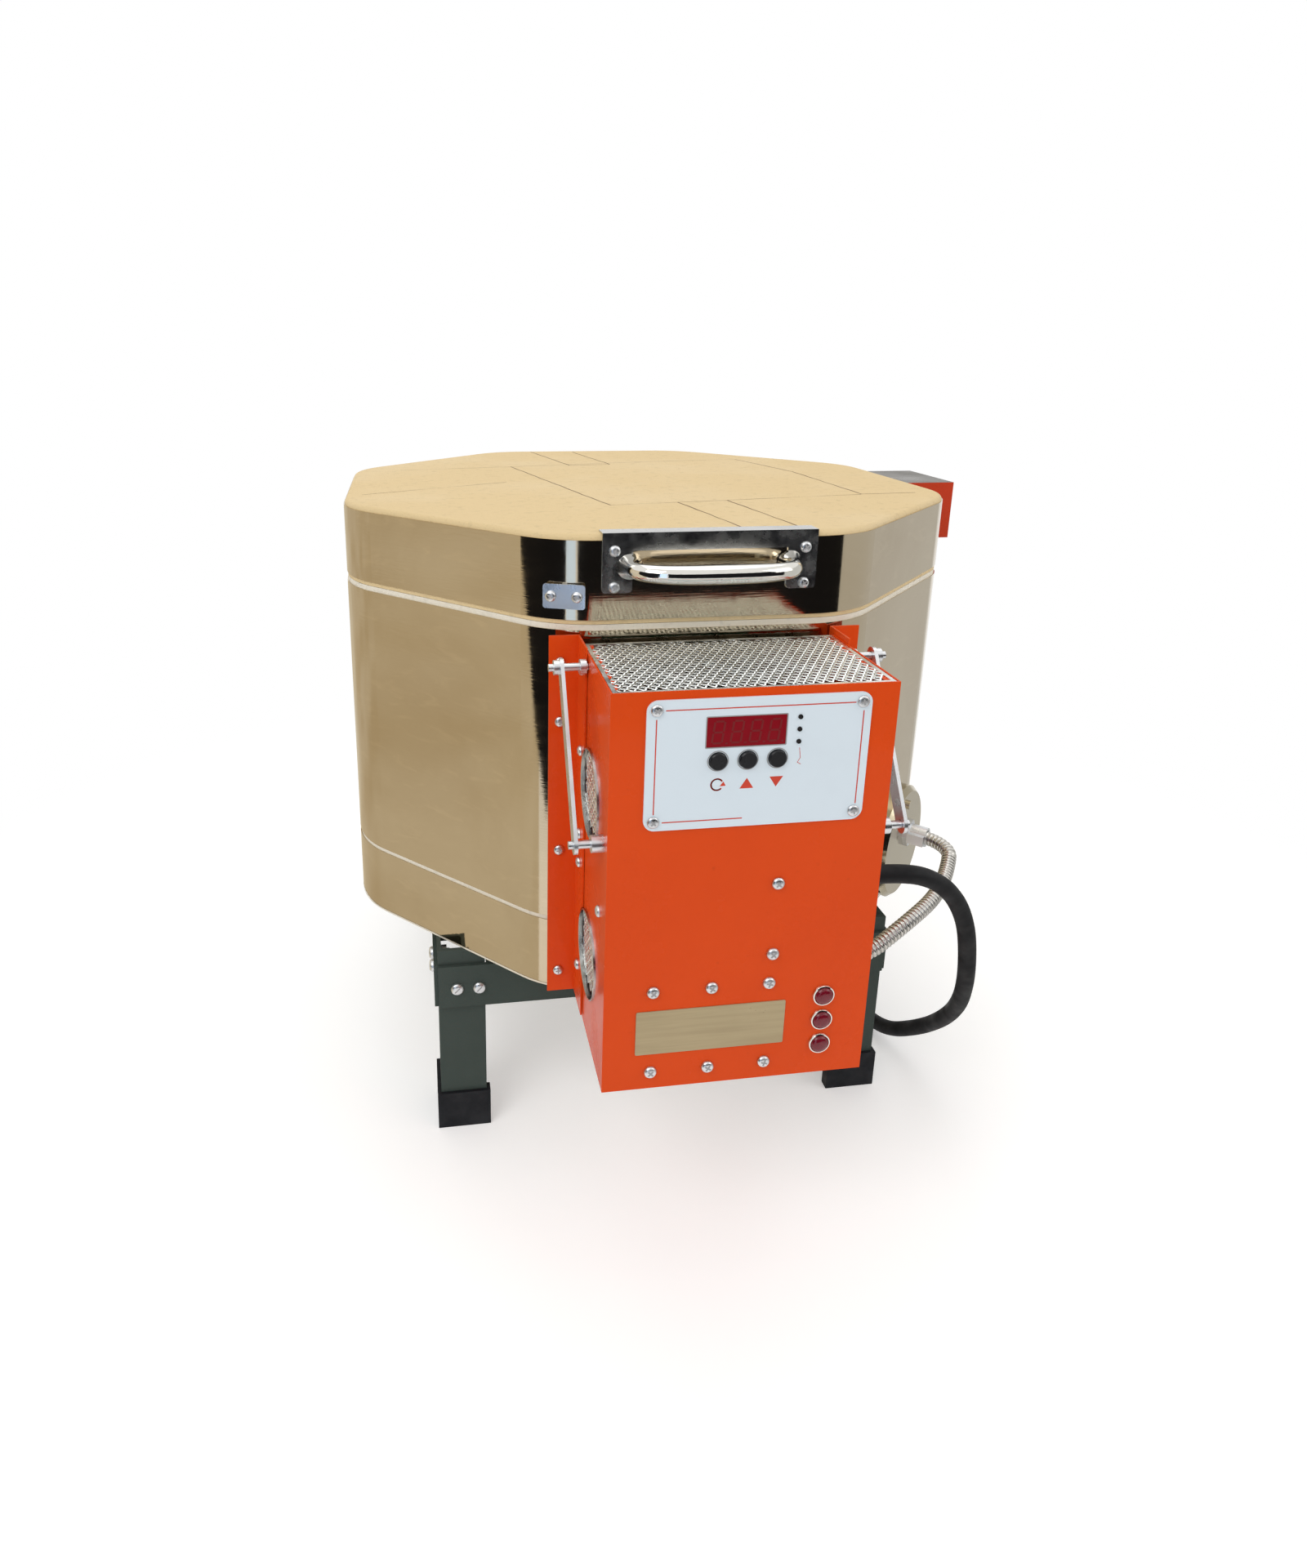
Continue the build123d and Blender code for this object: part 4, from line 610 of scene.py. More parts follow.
def make_tie():
    """Strap round the two layers of the coil."""
    middle = Vector((COIL_CENTRE[0] - TIE_LEFT, COIL_CENTRE[1], CORD_FLOOR + COIL_PITCH / 2))
    sides = 24
    points = []
    for forward, grown in ((-2.2, 0.1), (-2.2, 1.0), (2.2, 1.0), (2.2, 0.1)):
        reach = CORD_RADIUS + grown
        for k in range(sides):
            angle = 2 * math.pi * k / sides
            rise = math.sin(angle)
            lift = math.copysign(COIL_PITCH / 2, rise) if abs(rise) > 1e-6 else 0.0
            height = max(middle.z + lift + reach * rise, 0.02)
            points.append((middle.x + reach * math.cos(angle), middle.y + forward, height))
    shape = Shape()
    shape.add(points, ring_faces(4, sides, closed=True))
    return shape.piece("cord_tie", "kiln", ["black_plastic"])


def make_cord():
    cord = route_curve("mains_cord", cord_points(), CORD_RADIUS / 1000)
    cord.data.materials.append(MATERIALS["cord_rubber"])
    settle(cord, "kiln", ("power_cord", "cord_coil"))
    plug = make_plug()
    tie = make_tie()


make_cord()

# ---------------- stage and light

FLOOR_HALF = 9
FLOOR_LIFT = 0.34
FADE_START = 0.5
FADE_END = 0.95
ROOM_STRENGTH = 0.55

# Name, power in watts, place and size
LAMPS = (
    ("key", 20.0, (-1.5, -1.5, 2.2), 1.4),
    ("fill", 9.0, (1.9, -1.2, 1.5), 1.4),
    ("top", 11.0, (0.2, 0.4, 2.5), 2.0),
    ("back", 9.0, (-0.6, 2.2, 1.8), 1.6),
)
LAMP_AIM = Vector((0.0, 0.0, 0.25))

# Name, glow, glow of its patches, millimetres above the floor, near radius, and the angles that
# it spans near and far, in degrees from the front towards the right
CARDS = (
    ("card_warm", (0.78, 0.70, 0.55), (0.68, 0.58, 0.41), 1.5, 0.3, (-170.0, -60.0), (-170.0, -60.0)),
    ("card_grey", (0.66, 0.66, 0.64), None, 1.5, 0.3, (50.0, 125.0), (50.0, 125.0)),
    ("card_left", (0.012, 0.012, 0.014), None, 2.5, 0.75, (-52.0, -34.0), (-80.0, -30.0)),
    ("card_front", (0.012, 0.012, 0.014), None, 2.5, 1.2, (-18.0, 57.0), (-18.0, 57.0)),
    ("card_strip", (0.95, 1.25, 1.75), None, 3.5, 1.2, (-30.0, -20.0), (-30.0, -20.0)),
)
CARD_MIDDLE = (0.0, -180.0)
CARD_FAR = 3.2
CARD_HEIGHT = 1.7


def seen_straight(tree):
    """One for rays that show the background: from the camera, off metal and through glass."""
    path = add_node(tree, "ShaderNodeLightPath")
    seen = path.outputs["Is Camera Ray"]
    for kind in ("Is Glossy Ray", "Is Transmission Ray"):
        larger = add_node(tree, "ShaderNodeMath", seen, path.outputs[kind])
        larger.operation = "MAXIMUM"
        seen = larger.outputs[0]
    return seen


def make_floor():
    """A white floor that keeps the shadow and turns plain white further out."""
    half = FLOOR_HALF
    mesh = bpy.data.meshes.new("floor")
    corners = [(-half, -half, 0), (half, -half, 0), (half, half, 0), (-half, half, 0)]
    mesh.from_pydata(corners, [], [(0, 1, 2, 3)])
    material = bpy.data.materials.new("floor_white")
    material.use_nodes = True
    tree = material.node_tree
    tree.nodes.clear()
    diffuse = add_node(tree, "ShaderNodeBsdfDiffuse", Color=(0.90, 0.90, 0.90, 1)).outputs[0]
    lift = add_node(tree, "ShaderNodeEmission", Strength=FLOOR_LIFT).outputs[0]
    near = add_node(tree, "ShaderNodeAddShader", diffuse, lift).outputs[0]
    plain = add_node(tree, "ShaderNodeEmission").outputs[0]
    place = add_node(tree, "ShaderNodeTexCoord").outputs["Object"]
    reach = add_node(tree, "ShaderNodeVectorMath", place)
    reach.operation = "LENGTH"
    fade = add_node(
        tree, "ShaderNodeMapRange", reach.outputs["Value"], From_Min=FADE_START, From_Max=FADE_END
    )
    fade.interpolation_type = "SMOOTHSTEP"
    shown = add_node(tree, "ShaderNodeMixShader", fade.outputs[0], near, plain).outputs[0]
    total = add_node(tree, "ShaderNodeMixShader", seen_straight(tree), diffuse, shown).outputs[0]
    add_node(tree, "ShaderNodeOutputMaterial", total)
    mesh.materials.append(material)
    add_object("floor", mesh)


def make_room():
    """Soft light from all round, in a room that looks white."""
    world = bpy.data.worlds.new("room")
    bpy.context.scene.world = world
    world.use_nodes = True
    tree = world.node_tree
    tree.nodes.clear()
    room = add_node(
        tree, "ShaderNodeBackground", Color=(1.0, 0.985, 0.96, 1), Strength=ROOM_STRENGTH
    ).outputs[0]
    white = add_node(tree, "ShaderNodeBackground", Color=(1, 1, 1, 1), Strength=1.0).outputs[0]
    mix = add_node(tree, "ShaderNodeMixShader", seen_straight(tree), room, white).outputs[0]
    add_node(tree, "ShaderNodeOutputWorld", mix)


def make_light(name, energy, place, size):
    data = bpy.data.lights.new(name, "AREA")
    data.energy = energy
    data.size = size
    lamp = add_object(name, data)
    turn = (LAMP_AIM - Vector(place)).to_track_quat("-Z", "Y").to_matrix().to_4x4()
    lamp.matrix_world = Matrix.Translation(place) @ turn


def make_card(name, glow, patches, lift, near, near_span, far_span):
    """A card on the floor and up a wall, which shows in reflections alone."""
    paint = Paint(name, (0.0, 0.0, 0.0), 1.0, Specular_IOR_Level=0.0, Emission_Strength=1.0)
    paint.set("Emission Color", (*glow, 1.0))
    if patches:
        paint.tint(paint.band(paint.noise(2.2, 2.0, 0.5), 0.4, 0.62), patches, "Emission Color")
    steps = 12
    middle = at(*CARD_MIDDLE, lift)
    far = CARD_FAR - lift / 10
    rows = ((near_span, near, 0.0), (far_span, far, 0.0), (far_span, far, CARD_HEIGHT))
    points = []
    for span, radius, height in rows:
        for k in range(steps + 1):
            angle = math.radians(span[0] + (span[1] - span[0]) * k / steps)
            way = Vector((math.sin(angle), -math.cos(angle), 0))
            points.append(middle + way * radius + Vector((0, 0, height)))
    faces = []
    for row in range(len(rows) - 1):
        for k in range(steps):
            low = row * (steps + 1) + k
            faces.append((low, low + 1, low + steps + 2, low + steps + 1))
    mesh = bpy.data.meshes.new(name)
    mesh.from_pydata(points, [], faces)
    mesh.materials.append(paint.material)
    card = add_object(name, mesh)
    card.visible_camera = False
    card.visible_diffuse = False
    card.visible_shadow = False
    card.visible_transmission = False


def make_stage():
    """Floor, room, soft lamps, and cards for the metal to reflect."""
    bpy.context.scene.view_settings.view_transform = "Standard"
    make_floor()
    make_room()
    for lamp in LAMPS:
        make_light(*lamp)
    for card in CARDS:
        make_card(*card)


make_stage()

# ---------------- screws, bolts and studs

SCREW_RADIUS = 3.9
SCREW_HEIGHT = 2.4
# The second finish is painted shade, for the crosses and slots of the heads
SCREW_FINISHES = ["zinc_hardware", "recess"]
PLATE_MIDDLE = (2.0, 400.0)
PLATE_SCREW_REACH = (63.5, 36.0)
FRONT_SCREW_PLACES = (
    (21.0, 146.0), (21.0, 95.0), (-57.0, 73.5), (-18.4, 73.5), (20.0, 73.5),
    (-57.0, 13.0), (-18.4, 13.0), (20.0, 13.0),
)
WALL_SCREW_FORWARD = 19.0
WALL_SCREW_SHARES = (0.13, 0.43, 0.51, 0.736, 0.946)
FLANGE_SCREW_OUT = 12.0
FLANGE_SCREW_SHARES = (0.072, 0.433, 0.79, 0.946)
SIDE_SCREW_BACK = 21.0
SIDE_SCREW_SHARE = 0.44
BRACKET_SCREW_SHIFT = 66.5
BRACKET_SCREW_DROPS = (11.0, 36.0)
CLAMP_TURN = 19.5
CLAMP_RISE = 20.0
CLAMP_PROUD = 3.2
CLAMP_SCREW_SHIFT = 9.0
STAND_FACE = -194.2
STAND_BOLT_PLACES = (-176.0, -158.0, 158.0, 176.0)
FRONT_BOLT_DROP = 34.0
SIDE_BOLT_DROP = 23.0
STAND_GAUGES = 6.4
NUT_CORNERS = 5.77


def pan_head(shape, place, normal, radius=SCREW_RADIUS, height=SCREW_HEIGHT):
    """Domed screw head, turned by its place, with a flat grey cross that paints the shade of its cross
    slot.
    """
    normal = Vector(normal).normalized()
    profile = [(radius * 0.97, -0.4), (radius, 0.3), (radius * 0.97, height * 0.45)]
    profile += [(radius * 0.82, height * 0.8), (radius * 0.55, height * 0.97), (0.01, height)]
    shape.turned(profile, place, normal, 0, 20)
    turn = Matrix.Rotation((place[0] * 7 + place[2] * 3) % 1.5, 3, normal)
    across = turn @ normal.orthogonal().normalized()
    top = Vector(place) + normal * (height * 0.93)
    long, thin = radius * 0.52, radius * 0.13
    cross = [
        (long, thin), (thin, thin), (thin, long), (-thin, long), (-thin, thin), (-long, thin),
        (-long, -thin), (-thin, -thin), (-thin, -long), (thin, -long), (thin, -thin), (long, -thin),
    ]
    # A raised grey cross paints the shade of the cross slot.
    shape.slab(cross, top, across, normal, height * 0.09, 1)


def make_box_screws():
    """Screws of the face plate, of the box's front and sides, and of its mounting angles."""
    front = (0, -1, 0)
    shape = Shape()
    for side in (-1, 1):
        for end in (-1, 1):
            x = PLATE_MIDDLE[0] + side * PLATE_SCREW_REACH[0]
            z = PLATE_MIDDLE[1] + end * PLATE_SCREW_REACH[1]
            pan_head(shape, (x, PLATE_FRONT, z), front, SCREW_RADIUS, 1.9)
    for x, rise in FRONT_SCREW_PLACES:
        pan_head(shape, (x, BOX_FRONT, KILN_BOTTOM + rise), front, 4.3, 2.7)
    wall_y = -JACKET_HALF - WALL_SCREW_FORWARD
    side_y = BOX_FRONT + SIDE_SCREW_BACK
    for side in (-1, 1):
        outward = (side, 0, 0)
        for share in WALL_SCREW_SHARES:
            pan_head(shape, (side * MOUNTING_OUTER, wall_y, up_box(share)), outward)
        flange_x = side * (MOUNTING_OUTER + FLANGE_SCREW_OUT)
        for share in FLANGE_SCREW_SHARES:
            pan_head(shape, (flange_x, FLANGE_FRONT, up_box(share)), front)
        pan_head(shape, (side * BOX_HALF, side_y, up_box(SIDE_SCREW_SHARE)), outward)
    shape.piece("box_screw_heads", "kiln", SCREW_FINISHES, 40, replaces=("box_screws",))


def make_lid_screws():
    """Screws of the handle's bracket and of the band's clamp."""
    shape = Shape()
    for side in (-1, 1):
        for drop in BRACKET_SCREW_DROPS:
            place = (side * BRACKET_SCREW_SHIFT, FLANGE_FRONT, LID_TOP - drop)
            pan_head(shape, place, (0, -1, 0))
    turn = math.radians(CLAMP_TURN)
    outward = Vector((-math.sin(turn), -math.cos(turn), 0))
    along = Vector((math.cos(turn), -math.sin(turn), 0))
    corner = Vector((-CORNER_SHIFT, -CORNER_REACH, LID_BOTTOM + CLAMP_RISE))
    clamp = corner + outward * (CORNER_RADIUS + CLAMP_PROUD)
    for side in (-1, 1):
        pan_head(shape, clamp + along * (side * CLAMP_SCREW_SHIFT), outward)
    shape.piece("lid_screw_heads", "lid", SCREW_FINISHES, 40, replaces=("lid_screws",))


def make_stand_bolts():
    """Slotted bolts through the stand's angles, with their shanks and nuts."""
    head = [(5.2, -0.4), (5.2, 0.8), (5.0, 1.9), (4.2, 2.8), (2.6, 3.3), (0.01, 3.4)]
    shank = [(3.0, 3.2), (3.0, 13.6), (2.2, 14.6)]
    slot = [(2.8, 0.45), (-2.8, 0.45), (-2.8, -0.45), (2.8, -0.45)]
    shape = Shape()
    for side in range(4):
        turn = Matrix.Rotation(math.pi / 2 * side, 3, "Z")
        outward = turn @ Vector((0, -1, 0))
        height = KILN_BOTTOM - (FRONT_BOLT_DROP if side % 2 == 0 else SIDE_BOLT_DROP)
        for x in STAND_BOLT_PLACES:
            place = turn @ Vector((x, STAND_FACE, height))
            shape.turned(head, place, outward, 0, 20)
            # The slot is a raised grey bar of painted shade.
            shape.slab(slot, place + outward * 2.95, turn @ Vector((1, 0, 1)), outward, 0.5, 1)
            shape.turned(shank, place, -outward, 0, 14)
            inside = place - outward * STAND_GAUGES
            shape.slab(circle(NUT_CORNERS, 6), inside, turn @ Vector((1, 0, 0)), -outward, 5.0)
    shape.piece("stand_bolt_set", "kiln", SCREW_FINISHES, 35, replaces=("stand_bolts",))


make_box_screws()
make_lid_screws()
make_stand_bolts()

# ---------------- lamps of the panel

PILOT_SHIFT = 58.0
PILOT_RISES = (23.5, 42.0, 60.5)


def make_lamps():
    """Domed red lenses in thin bright bezels, at the panel's lower right."""
    dome = [(6.2, 0.0), (6.2, 1.6), (5.8, 2.6), (4.8, 3.5), (3.2, 4.05), (1.5, 4.2), (0.01, 4.2)]
    ring = [(7.6, 0.0), (7.6, 1.0), (7.2, 1.7), (6.5, 1.9), (6.2, 1.5)]
    domes = Shape()
    rings = Shape()
    for rise in PILOT_RISES:
        place = (PILOT_SHIFT, BOX_FRONT, KILN_BOTTOM + rise)
        domes.turned(dome, place, (0, -1, 0), 0, 32)
        rings.turned(ring, place, (0, -1, 0), 0, 32)
    domes.piece("lamp_domes", "kiln", ["lens_plastic"], 50, replaces=("pilot_lenses",))
    rings.piece("lamp_rings", "kiln", ["chrome_parts"], 30, replaces=("pilot_bezels",))


make_lamps()

# ---------------- handle

HANDLE_HEIGHT = 497.3
HANDLE_HALF_SPAN = 56.0
HANDLE_BOW = 29.5
HANDLE_SUNK = 0.3
HANDLE_FOOT = 11.0


def handle_place(turn):
    """A place along the handle's bowed line, from the left foot (pi) to the right one (0)."""
    across = math.cos(turn)
    x = math.copysign(abs(across) ** (2 / 3), across) * HANDLE_HALF_SPAN
    reach = max(math.sin(turn), 0.0) ** (2 / 3) * HANDLE_BOW
    return Vector((x, FLANGE_FRONT + HANDLE_SUNK - reach, HANDLE_HEIGHT))


def make_handle():
    """Smooth bowed pull, thickest in its middle, with flared feet."""
    stations = []
    steps = 72
    for k in range(steps + 1):
        turn = math.pi * (1 - k / steps)
        place = handle_place(turn)
        if k == 0:
            heading = Vector((0, -1, 0))
        elif k == steps:
            heading = Vector((0, 1, 0))
        else:
            heading = (handle_place(turn - 0.02) - handle_place(turn + 0.02)).normalized()
        flare = min(max(0.0, 1 - (FLANGE_FRONT - place.y) / HANDLE_FOOT), 1.0)
        swell = 1 - (place.x / HANDLE_HALF_SPAN) ** 2
        stations.append((place, heading, 5.6 + 0.9 * swell + 3.4 * flare**2))
    shape = Shape()
    shape.swept(stations, 28)
    shape.piece("handle_bar", "lid", ["chrome_parts"], 60, replaces=("lid_handle",))


make_handle()

# ---------------- expanded metal

STRAND_OPENING = 0.56
VENT_BACK = 57.5
VENT_SHARES = (0.2365, 0.673)
VENT_MESH_RADIUS = 30.5
MESH_RIGHT = (1, 0.12, 0)
MESH_HALF_WIDTH = 87.0
MESH_HALF_DEPTH = 48.6
MESH_DROP = 0.7


def expanded_cells(shape, place, right, normal, keep, cell, reach, tilt):
    """Diamond cells of expanded metal, each strand tilted, wherever keep(u, v) allows."""
    right = Vector(right).normalized()
    normal = Vector(normal).normalized()
    up = normal.cross(right)
    long_way, short_way = cell
    corners = [(long_way / 2, 0), (0, short_way / 2), (-long_way / 2, 0), (0, -short_way / 2)]
    rows = int(2 * reach[1] / short_way) + 2
    columns = int(reach[0] / long_way) + 2
    for row in range(-rows, rows + 1):
        for column in range(-columns, columns + 1):
            u = (column + 0.5 * (row % 2)) * long_way
            v = row * short_way / 2
            if not all(keep(u + du, v + dv) for du, dv in corners):
                continue
            points = []
            for share, tip in ((1.0, tilt), (STRAND_OPENING, -0.4 * tilt)):
                for du, dv in corners:
                    spot = Vector(place) + right * (u + du * share) + up * (v + dv * share)
                    points.append(spot + normal * (tip * ((dv > 0) - (dv < 0))))
            shape.add(points, ring_faces(2, 4))


def thicken(made, thickness):
    skin = made.modifiers.new("gauge", "SOLIDIFY")
    skin.thickness = thickness
    skin.offset = 0


def in_top_opening(u, v):
    """Whether a place of the turned mesh lies in the box's top opening."""
    cosine, sine, _ = Vector(MESH_RIGHT).normalized()
    x, y = u * cosine - v * sine, u * sine + v * cosine
    return abs(x) < MESH_HALF_WIDTH and abs(y) < MESH_HALF_DEPTH


def make_top_mesh():
    """Expanded metal in the box's top, in a flat border."""
    middle_y = (BOX_BACK + BOX_FRONT + SHEET_GAUGE) / 2
    shape = Shape()
    place = (0, middle_y, BOX_TOP - MESH_DROP)
    expanded_cells(shape, place, MESH_RIGHT, (0, 0, 1), in_top_opening, (6.6, 8.4), (96, 62), 0.16)
    finishes = ["galvanised_mesh"]
    mesh = shape.piece(
        "top_expanded_mesh", "kiln", finishes, 20, replaces=("top_mesh_panel",)
    )
    thicken(mesh, 0.0005)
    shape = Shape()
    for x, y, width, depth in (
        (0, BOX_FRONT + 2.8, 174.6, 3.2),
        (0, BOX_BACK - 1.8, 174.6, 3.2),
        (-86.0, -311.5, 2.6, 92.4),
        (86.0, -311.5, 2.6, 92.4),
    ):
        shape.slab(rounded(width, depth, 0.3, 2), (x, y, BOX_TOP - 0.9), (1, 0, 0), (0, 0, 1), 0.6)
    shape.piece("top_mesh_border", "kiln", finishes, 30)


def make_vents():
    """Round vents of expanded metal, with their rolled rims."""
    rim = [(29.6, -1.8), (33.0, -1.8), (33.0, -1.2), (30.8, -0.9)]
    rim += [(30.6, 1.5), (30.0, 1.75), (29.6, 1.5), (29.6, -0.9)]
    mesh = Shape()
    rims = Shape()
    for side in (-1, 1):
        outward = (side, 0, 0)
        for share in VENT_SHARES:
            y, z = BOX_FRONT + VENT_BACK, up_box(share)
            expanded_cells(
                mesh, (side * (BOX_HALF - 1.7), y, z), (0, 1, 0), outward,
                lambda u, v: math.hypot(u, v) < VENT_MESH_RADIUS, (9.0, 9.0), (34, 34), 0.3,
            )
            rims.turned(rim, (side * BOX_HALF, y, z), outward, 0, 48, closed=True)
    made = mesh.piece(
        "vent_expanded_mesh", "kiln", ["galvanised_mesh"], 20, replaces=("side_vents",)
    )
    thicken(made, 0.0007)
    rims.piece("vent_rims", "kiln", ["bracket_steel"], 30)


make_top_mesh()
make_vents()

# ---------------- printed face and plates

BORDER_LEFT, BORDER_RIGHT = -61.5, 66.5
BORDER_TOP, BORDER_FOOT = 435.6, 363.4
BORDER_GAP = 5.6
BORDER_WIDTH = 0.75
BUTTON_PLACES = (-23.0, -4.5, 14.0)
BUTTON_HEIGHT = 402.0
ICON_SHIFT = 0.2
ICON_HEIGHT = 386.6
WINDOW_PLACE = (-6.2, 420.5)
DIGIT_HEIGHT = 420.4
DIGIT_PITCH = 11.6
DIGIT_LEAN = 0.12


def frame_band(shape, outer, inner, place, finish):
    """A flat band between two outlines of the same number of points, facing the front."""
    x, y, z = place
    points = [(x + u, y, z + v) for u, v in outer] + [(x + u, y, z + v) for u, v in inner]
    shape.add(points, ring_faces(2, len(outer)), finish)


def line_strip(shape, path, width, y):
    """A thin printed line along a path of (x, z), facing the front."""
    for (x0, z0), (x1, z1) in zip(path, path[1:]):
        run = Vector((x1 - x0, z1 - z0))
        side = Vector((-run.y, run.x)).normalized() * (width / 2)
        ahead = run.normalized() * (width / 4)
        a, b = Vector((x0, z0)) - ahead, Vector((x1, z1)) + ahead
        corners = [a - side, b - side, b + side, a + side]
        shape.add([(c.x, y, c.y) for c in corners], [(0, 1, 2, 3)])


def make_print():
    """Red border and icons on the face plate, with grey rims of painted shade round the buttons and the
    window.
    """
    shape = Shape()
    y = PLATE_FRONT - 0.06
    left, right, top, foot, gap = BORDER_LEFT, BORDER_RIGHT, BORDER_TOP, BORDER_FOOT, BORDER_GAP
    line_strip(shape, [(left + gap, top), (right - gap, top)], BORDER_WIDTH, y)
    line_strip(shape, [(left, top - gap), (left, foot + gap)], BORDER_WIDTH, y)
    line_strip(shape, [(right, top - gap), (right, foot + gap)], BORDER_WIDTH, y)
    line_strip(shape, [(left + gap, foot), (-6.0, foot)], BORDER_WIDTH, y)

    x, z = BUTTON_PLACES[0] + ICON_SHIFT, ICON_HEIGHT
    arc = [math.radians(35 + 10 * step) for step in range(29)]
    line_strip(shape, [(x + 3.7 * math.cos(a), z + 3.7 * math.sin(a)) for a in arc], 1.0, y)
    shape.add([(x + 1.7, y, z - 1.2), (x + 5.5, y, z - 1.0), (x + 3.9, y, z + 1.9)], [(0, 1, 2)])
    for place, lift in zip(BUTTON_PLACES[1:], (3.4, -3.4)):
        x = place + ICON_SHIFT
        shape.add([(x - 4.3, y, z - lift), (x + 4.3, y, z - lift), (x, y, z + lift)], [(0, 1, 2)])

    # Rims of painted shade round the buttons and the window
    for x in BUTTON_PLACES:
        frame_band(shape, circle(6.7, 32), circle(6.1, 32), (x, y, BUTTON_HEIGHT), 1)
    outer, inner = rounded(50.6, 20.6, 0.8, 2), rounded(49.2, 19.2, 0.4, 2)
    frame_band(shape, outer, inner, (WINDOW_PLACE[0], y, WINDOW_PLACE[1]), 1)
    line_strip(shape, [(27.5, 408.0), (28.5, 401.5), (26.8, 398.5), (29.0, 397.2)], 0.35, y)
    shape.piece("face_print", "kiln", ["print_red", "recess"], 30)


def make_digits():
    """Four dim digits with their points, on the display's window."""
    shape = Shape()
    y = PLATE_FRONT - 0.05
    for digit in range(4):
        x = WINDOW_PLACE[0] + (digit - 1.5) * DIGIT_PITCH
        for foot, head in ((0.8, 6.2), (-6.2, -0.8)):
            for side in (-3.1, 3.1):
                ends = [(x + side + rise * DIGIT_LEAN, DIGIT_HEIGHT + rise) for rise in (foot, head)]
                line_strip(shape, ends, 1.25, y)
        for rise in (6.9, 0.0, -6.9):
            middle = x + rise * DIGIT_LEAN
            line_strip(shape, [(middle + u, DIGIT_HEIGHT + rise) for u in (-2.2, 2.2)], 1.25, y)
        line_strip(shape, [(x + u, DIGIT_HEIGHT - 7.2) for u in (4.7, 5.7)], 1.1, y)
    shape.piece("display_digits", "kiln", ["segment_red"], 30)


def make_bare_plate():
    """The plate at the box's foot, without any wording."""
    shape = Shape()
    shape.slab(rounded(100.0, 32.6, 1.2), (-17.6, BOX_FRONT + 0.1, 213.0), (1, 0, 0), (0, -1, 0), 0.75)
    shape.piece("bare_plate", "kiln", ["champagne"], 30, 0.0002)


make_print()
make_digits()
make_bare_plate()

# ---------------- brick joints and edges

# Ends of the joints that show dark, and of those that show faintly
STRONG_JOINTS = (
    ((-100.2, 111.5), (-46.6, -134.7)), ((-64.0, 243.7), (-39.0, 116.5)), ((-17.4, 240.2), (3.9, 123.2)),
    ((-39.0, 116.5), (3.9, 123.2)), ((10.4, -126.1), (27.0, -238.5)), ((52.7, -119.8), (67.9, -239.7)),
    ((172.9, 49.6), (177.5, -98.6)), ((177.5, -98.6), (227.6, -94.0)), ((148.6, 155.0), (172.9, 49.6)),
)
FAINT_JOINTS = (
    ((-46.6, -134.7), (52.7, -119.8)), ((-240.0, -63.0), (-114.8, 1.0)),
    ((-100.2, 111.5), (55.2, 144.0)), ((52.7, -119.8), (176.0, -100.0)),
    ((55.2, 144.0), (148.6, 155.0)), ((-210.0, 92.0), (-100.2, 111.5)),
)


def joint_strip(shape, start, end, width):
    """One cement joint, a thin strip with unsteady edges."""
    x0, y0 = start
    run = Vector(end) - Vector(start)
    side = Vector((-run.y, run.x)).normalized()
    count = max(2, int(run.length / 9))
    points = []
    for sign in (-1, 1):
        for k in range(count + 1):
            wobble = 0.35 * math.sin(1.7 * k + x0) + 0.2 * math.sin(0.6 * k * sign + y0)
            spot = Vector(start) + run * (k / count) + side * (sign * width / 2 + wobble)
            points.append((spot.x, spot.y, LID_TOP + 0.06))
    shape.add(points, [(k, k + 1, count + 2 + k, count + 1 + k) for k in range(count)])


def make_lid_joints():
    """Cement joints of the lid's bricks, as thin strips on its top."""
    shape = Shape()
    for joints, width in ((STRONG_JOINTS, 1.3), (FAINT_JOINTS, 0.6)):
        for start, end in joints:
            joint_strip(shape, start, end, width)
    shape.piece("lid_brick_joints", "lid", ["brick_joint"], 30)


def make_brick_edge():
    """The floor brick's pale edge, as a thin line round the foot of the jacket."""
    steps = 8
    eighth = math.radians(45)
    radius = CORNER_RADIUS + 0.3
    widest = JACKET_HALF - 0.05
    points = []
    for height in (KILN_BOTTOM + 0.05, KILN_BOTTOM + 1.5):
        for side in range(8):
            centre = Matrix.Rotation(eighth * side, 2) @ Vector((CORNER_SHIFT, -CORNER_REACH))
            for k in range(steps + 1):
                angle = eighth * (side + k / steps) - math.pi / 2
                x = min(max(centre.x + radius * math.cos(angle), -widest), widest)
                points.append((x, centre.y + radius * math.sin(angle), height))
    shape = Shape()
    shape.add(points, ring_faces(2, 8 * (steps + 1)))
    shape.piece("floor_brick_edge", "kiln", ["firebrick"], 40)


make_lid_joints()
make_brick_edge()

# ---------------- heating coils

ELEMENT_FLATS = 396.4
ELEMENT_ROWS = (32.0, 80.0)
ELEMENT_DROP = 0.7
LID_ELEMENT_FLATS = (270.0, 190.0)
LID_ELEMENT_RISE = 7.7
ELEMENT_GAP_HALF = 25.0
COIL_WIRE = 0.9
WINDING_RADIUS = 3.5
WINDING_PITCH = 5.5
PLACES_PER_TURN = 9


def octagon_turn(flats, height):
    """Corners of one turn round an octagon, open in the middle of its front."""
    half = flats / 2
    major = half / math.cos(math.radians(22.5))
    points = [Vector((-ELEMENT_GAP_HALF, -half, height))]
    for k in range(8):
        angle = math.radians(-112.5 - 45 * k)
        points.append(Vector((major * math.cos(angle), major * math.sin(angle), height)))
    points.append(Vector((ELEMENT_GAP_HALF, -half, height)))
    return points


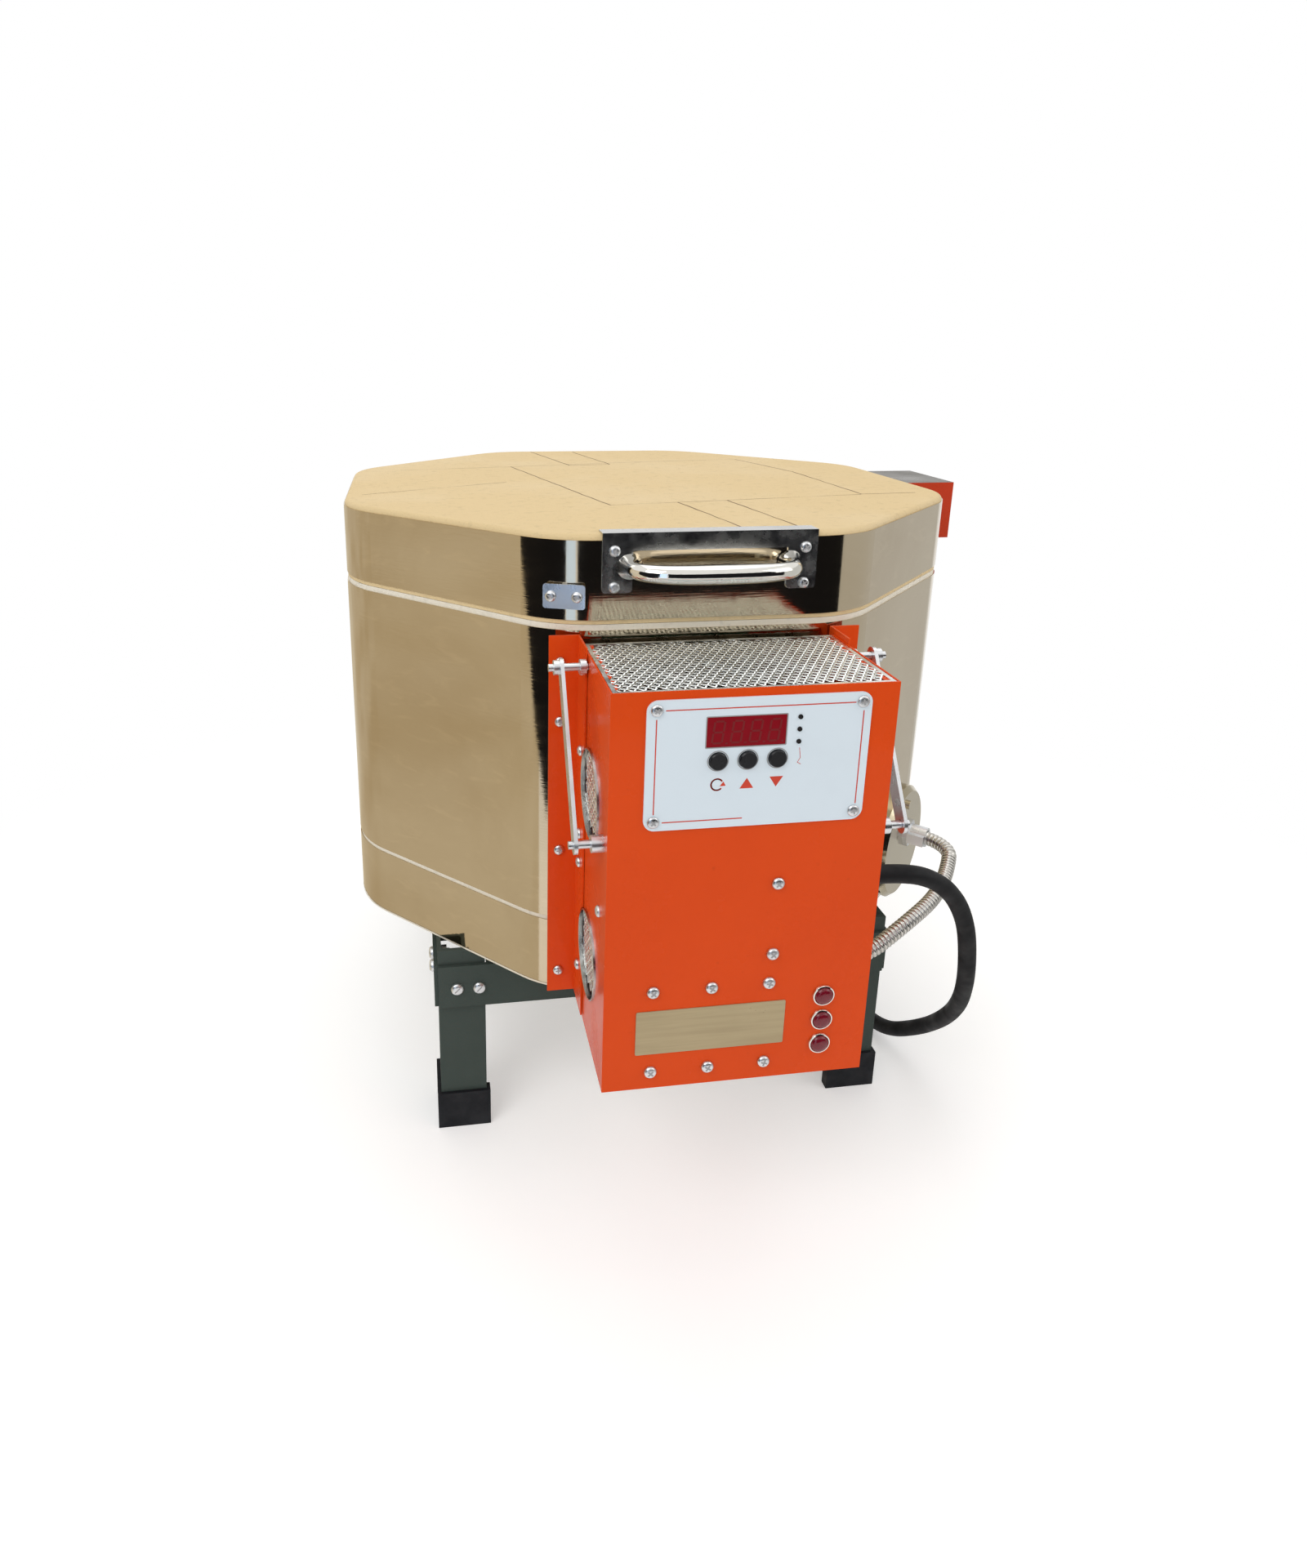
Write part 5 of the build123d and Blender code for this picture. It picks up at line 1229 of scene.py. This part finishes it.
def wound(points):
    """Helix round a run of straight lengths."""
    places = []
    travelled = 0.0
    for start, end in zip(points, points[1:]):
        run = end - start
        along = run.normalized()
        across = along.cross(Vector((0, 0, 1)))
        if across.length < 0.1:
            across = along.cross(Vector((0, 1, 0)))
        across.normalize()
        up = across.cross(along)
        steps = max(2, int(run.length / WINDING_PITCH * PLACES_PER_TURN))
        for k in range(steps):
            distance = run.length * k / steps
            angle = 2 * math.pi * (travelled + distance) / WINDING_PITCH
            spoke = across * math.cos(angle) + up * math.sin(angle)
            places.append(start + along * distance + spoke * WINDING_RADIUS)
        travelled += run.length
    return places


def make_coil(name, body, runs, replaced):
    data = bpy.data.curves.new(name, "CURVE")
    data.dimensions = "3D"
    data.bevel_depth = COIL_WIRE / 1000
    data.bevel_resolution = 1
    for run in runs:
        spline = data.splines.new("POLY")
        places = wound(run)
        spline.points.add(len(places) - 1)
        for point, place in zip(spline.points, places):
            point.co = (*at(*place), 1.0)
    data.materials.append(MATERIALS["heating_wire"])
    settle(add_object(name, data), body, (replaced,))


def make_elements():
    """A coil of two rows in each wall course, and one of two turns under the lid."""
    runs = []
    for course in range(2):
        foot = FLOOR_TOP + course * COURSE_HEIGHT - ELEMENT_DROP
        low, high = (octagon_turn(ELEMENT_FLATS, foot + rise) for rise in ELEMENT_ROWS)
        runs.append(low + high[::-1])
    make_coil("wall_heating_coils", "kiln", runs, "wall_elements")
    turned = []
    for flats in LID_ELEMENT_FLATS:
        corners = octagon_turn(flats, LID_BOTTOM + LID_ELEMENT_RISE)
        turned.append([Vector((-corner.y, corner.x, corner.z)) for corner in corners])
    make_coil("lid_heating_coil", "lid", [turned[0] + turned[1][::-1]], "lid_element")


make_elements()

# ---------------- flexible conduit

CONDUIT_ROUTE = [
    (96.5, -274.0, 190.0), (128.0, -274.0, 190.0), (167.4, -262.1, 209.2),
    (204.5, -240.1, 217.2), (232.0, -207.2, 220.0), (247.5, -182.4, 230.0),
    (224.9, -159.8, 230.0),
]
RIB_PITCH = 3.4
# Share of the pitch, and radius there
RIB_PROFILE = ((0.0, 5.25), (0.12, 5.85), (0.3, 6.0), (0.55, 5.95), (0.72, 5.7), (0.8, 5.25))


def make_conduit():
    """Interlocked steel strip, wound in narrow ribs along the conduit's smooth line."""
    line = route_curve("conduit_line", [at(*place) for place in CONDUIT_ROUTE], 0.0)
    line.data.resolution_u = 24
    sampled = bpy.data.meshes.new_from_object(line)
    places = [(vertex.co - CHAMBER_AXIS) * 1000 for vertex in sampled.vertices]
    bpy.data.objects.remove(line)
    bpy.data.meshes.remove(sampled)
    reached = [0.0]
    for first, second in zip(places, places[1:]):
        reached.append(reached[-1] + (second - first).length)
    ribs = round(reached[-1] / RIB_PITCH)
    pitch = reached[-1] / ribs
    stations = []
    index = 0
    for rib in range(ribs):
        for share, radius in RIB_PROFILE:
            distance = (rib + share) * pitch
            while index < len(reached) - 2 and reached[index + 1] < distance:
                index += 1
            way = (distance - reached[index]) / max(reached[index + 1] - reached[index], 1e-9)
            ahead = places[min(index + 2, len(places) - 1)]
            heading = (ahead - places[max(index - 1, 0)]).normalized()
            stations.append((places[index].lerp(places[index + 1], way), heading, radius))
    shape = Shape()
    shape.swept(stations)
    shape.piece("conduit_ribs", "kiln", ["conduit_steel"], 50, replaces=("flex_conduit",))


make_conduit()
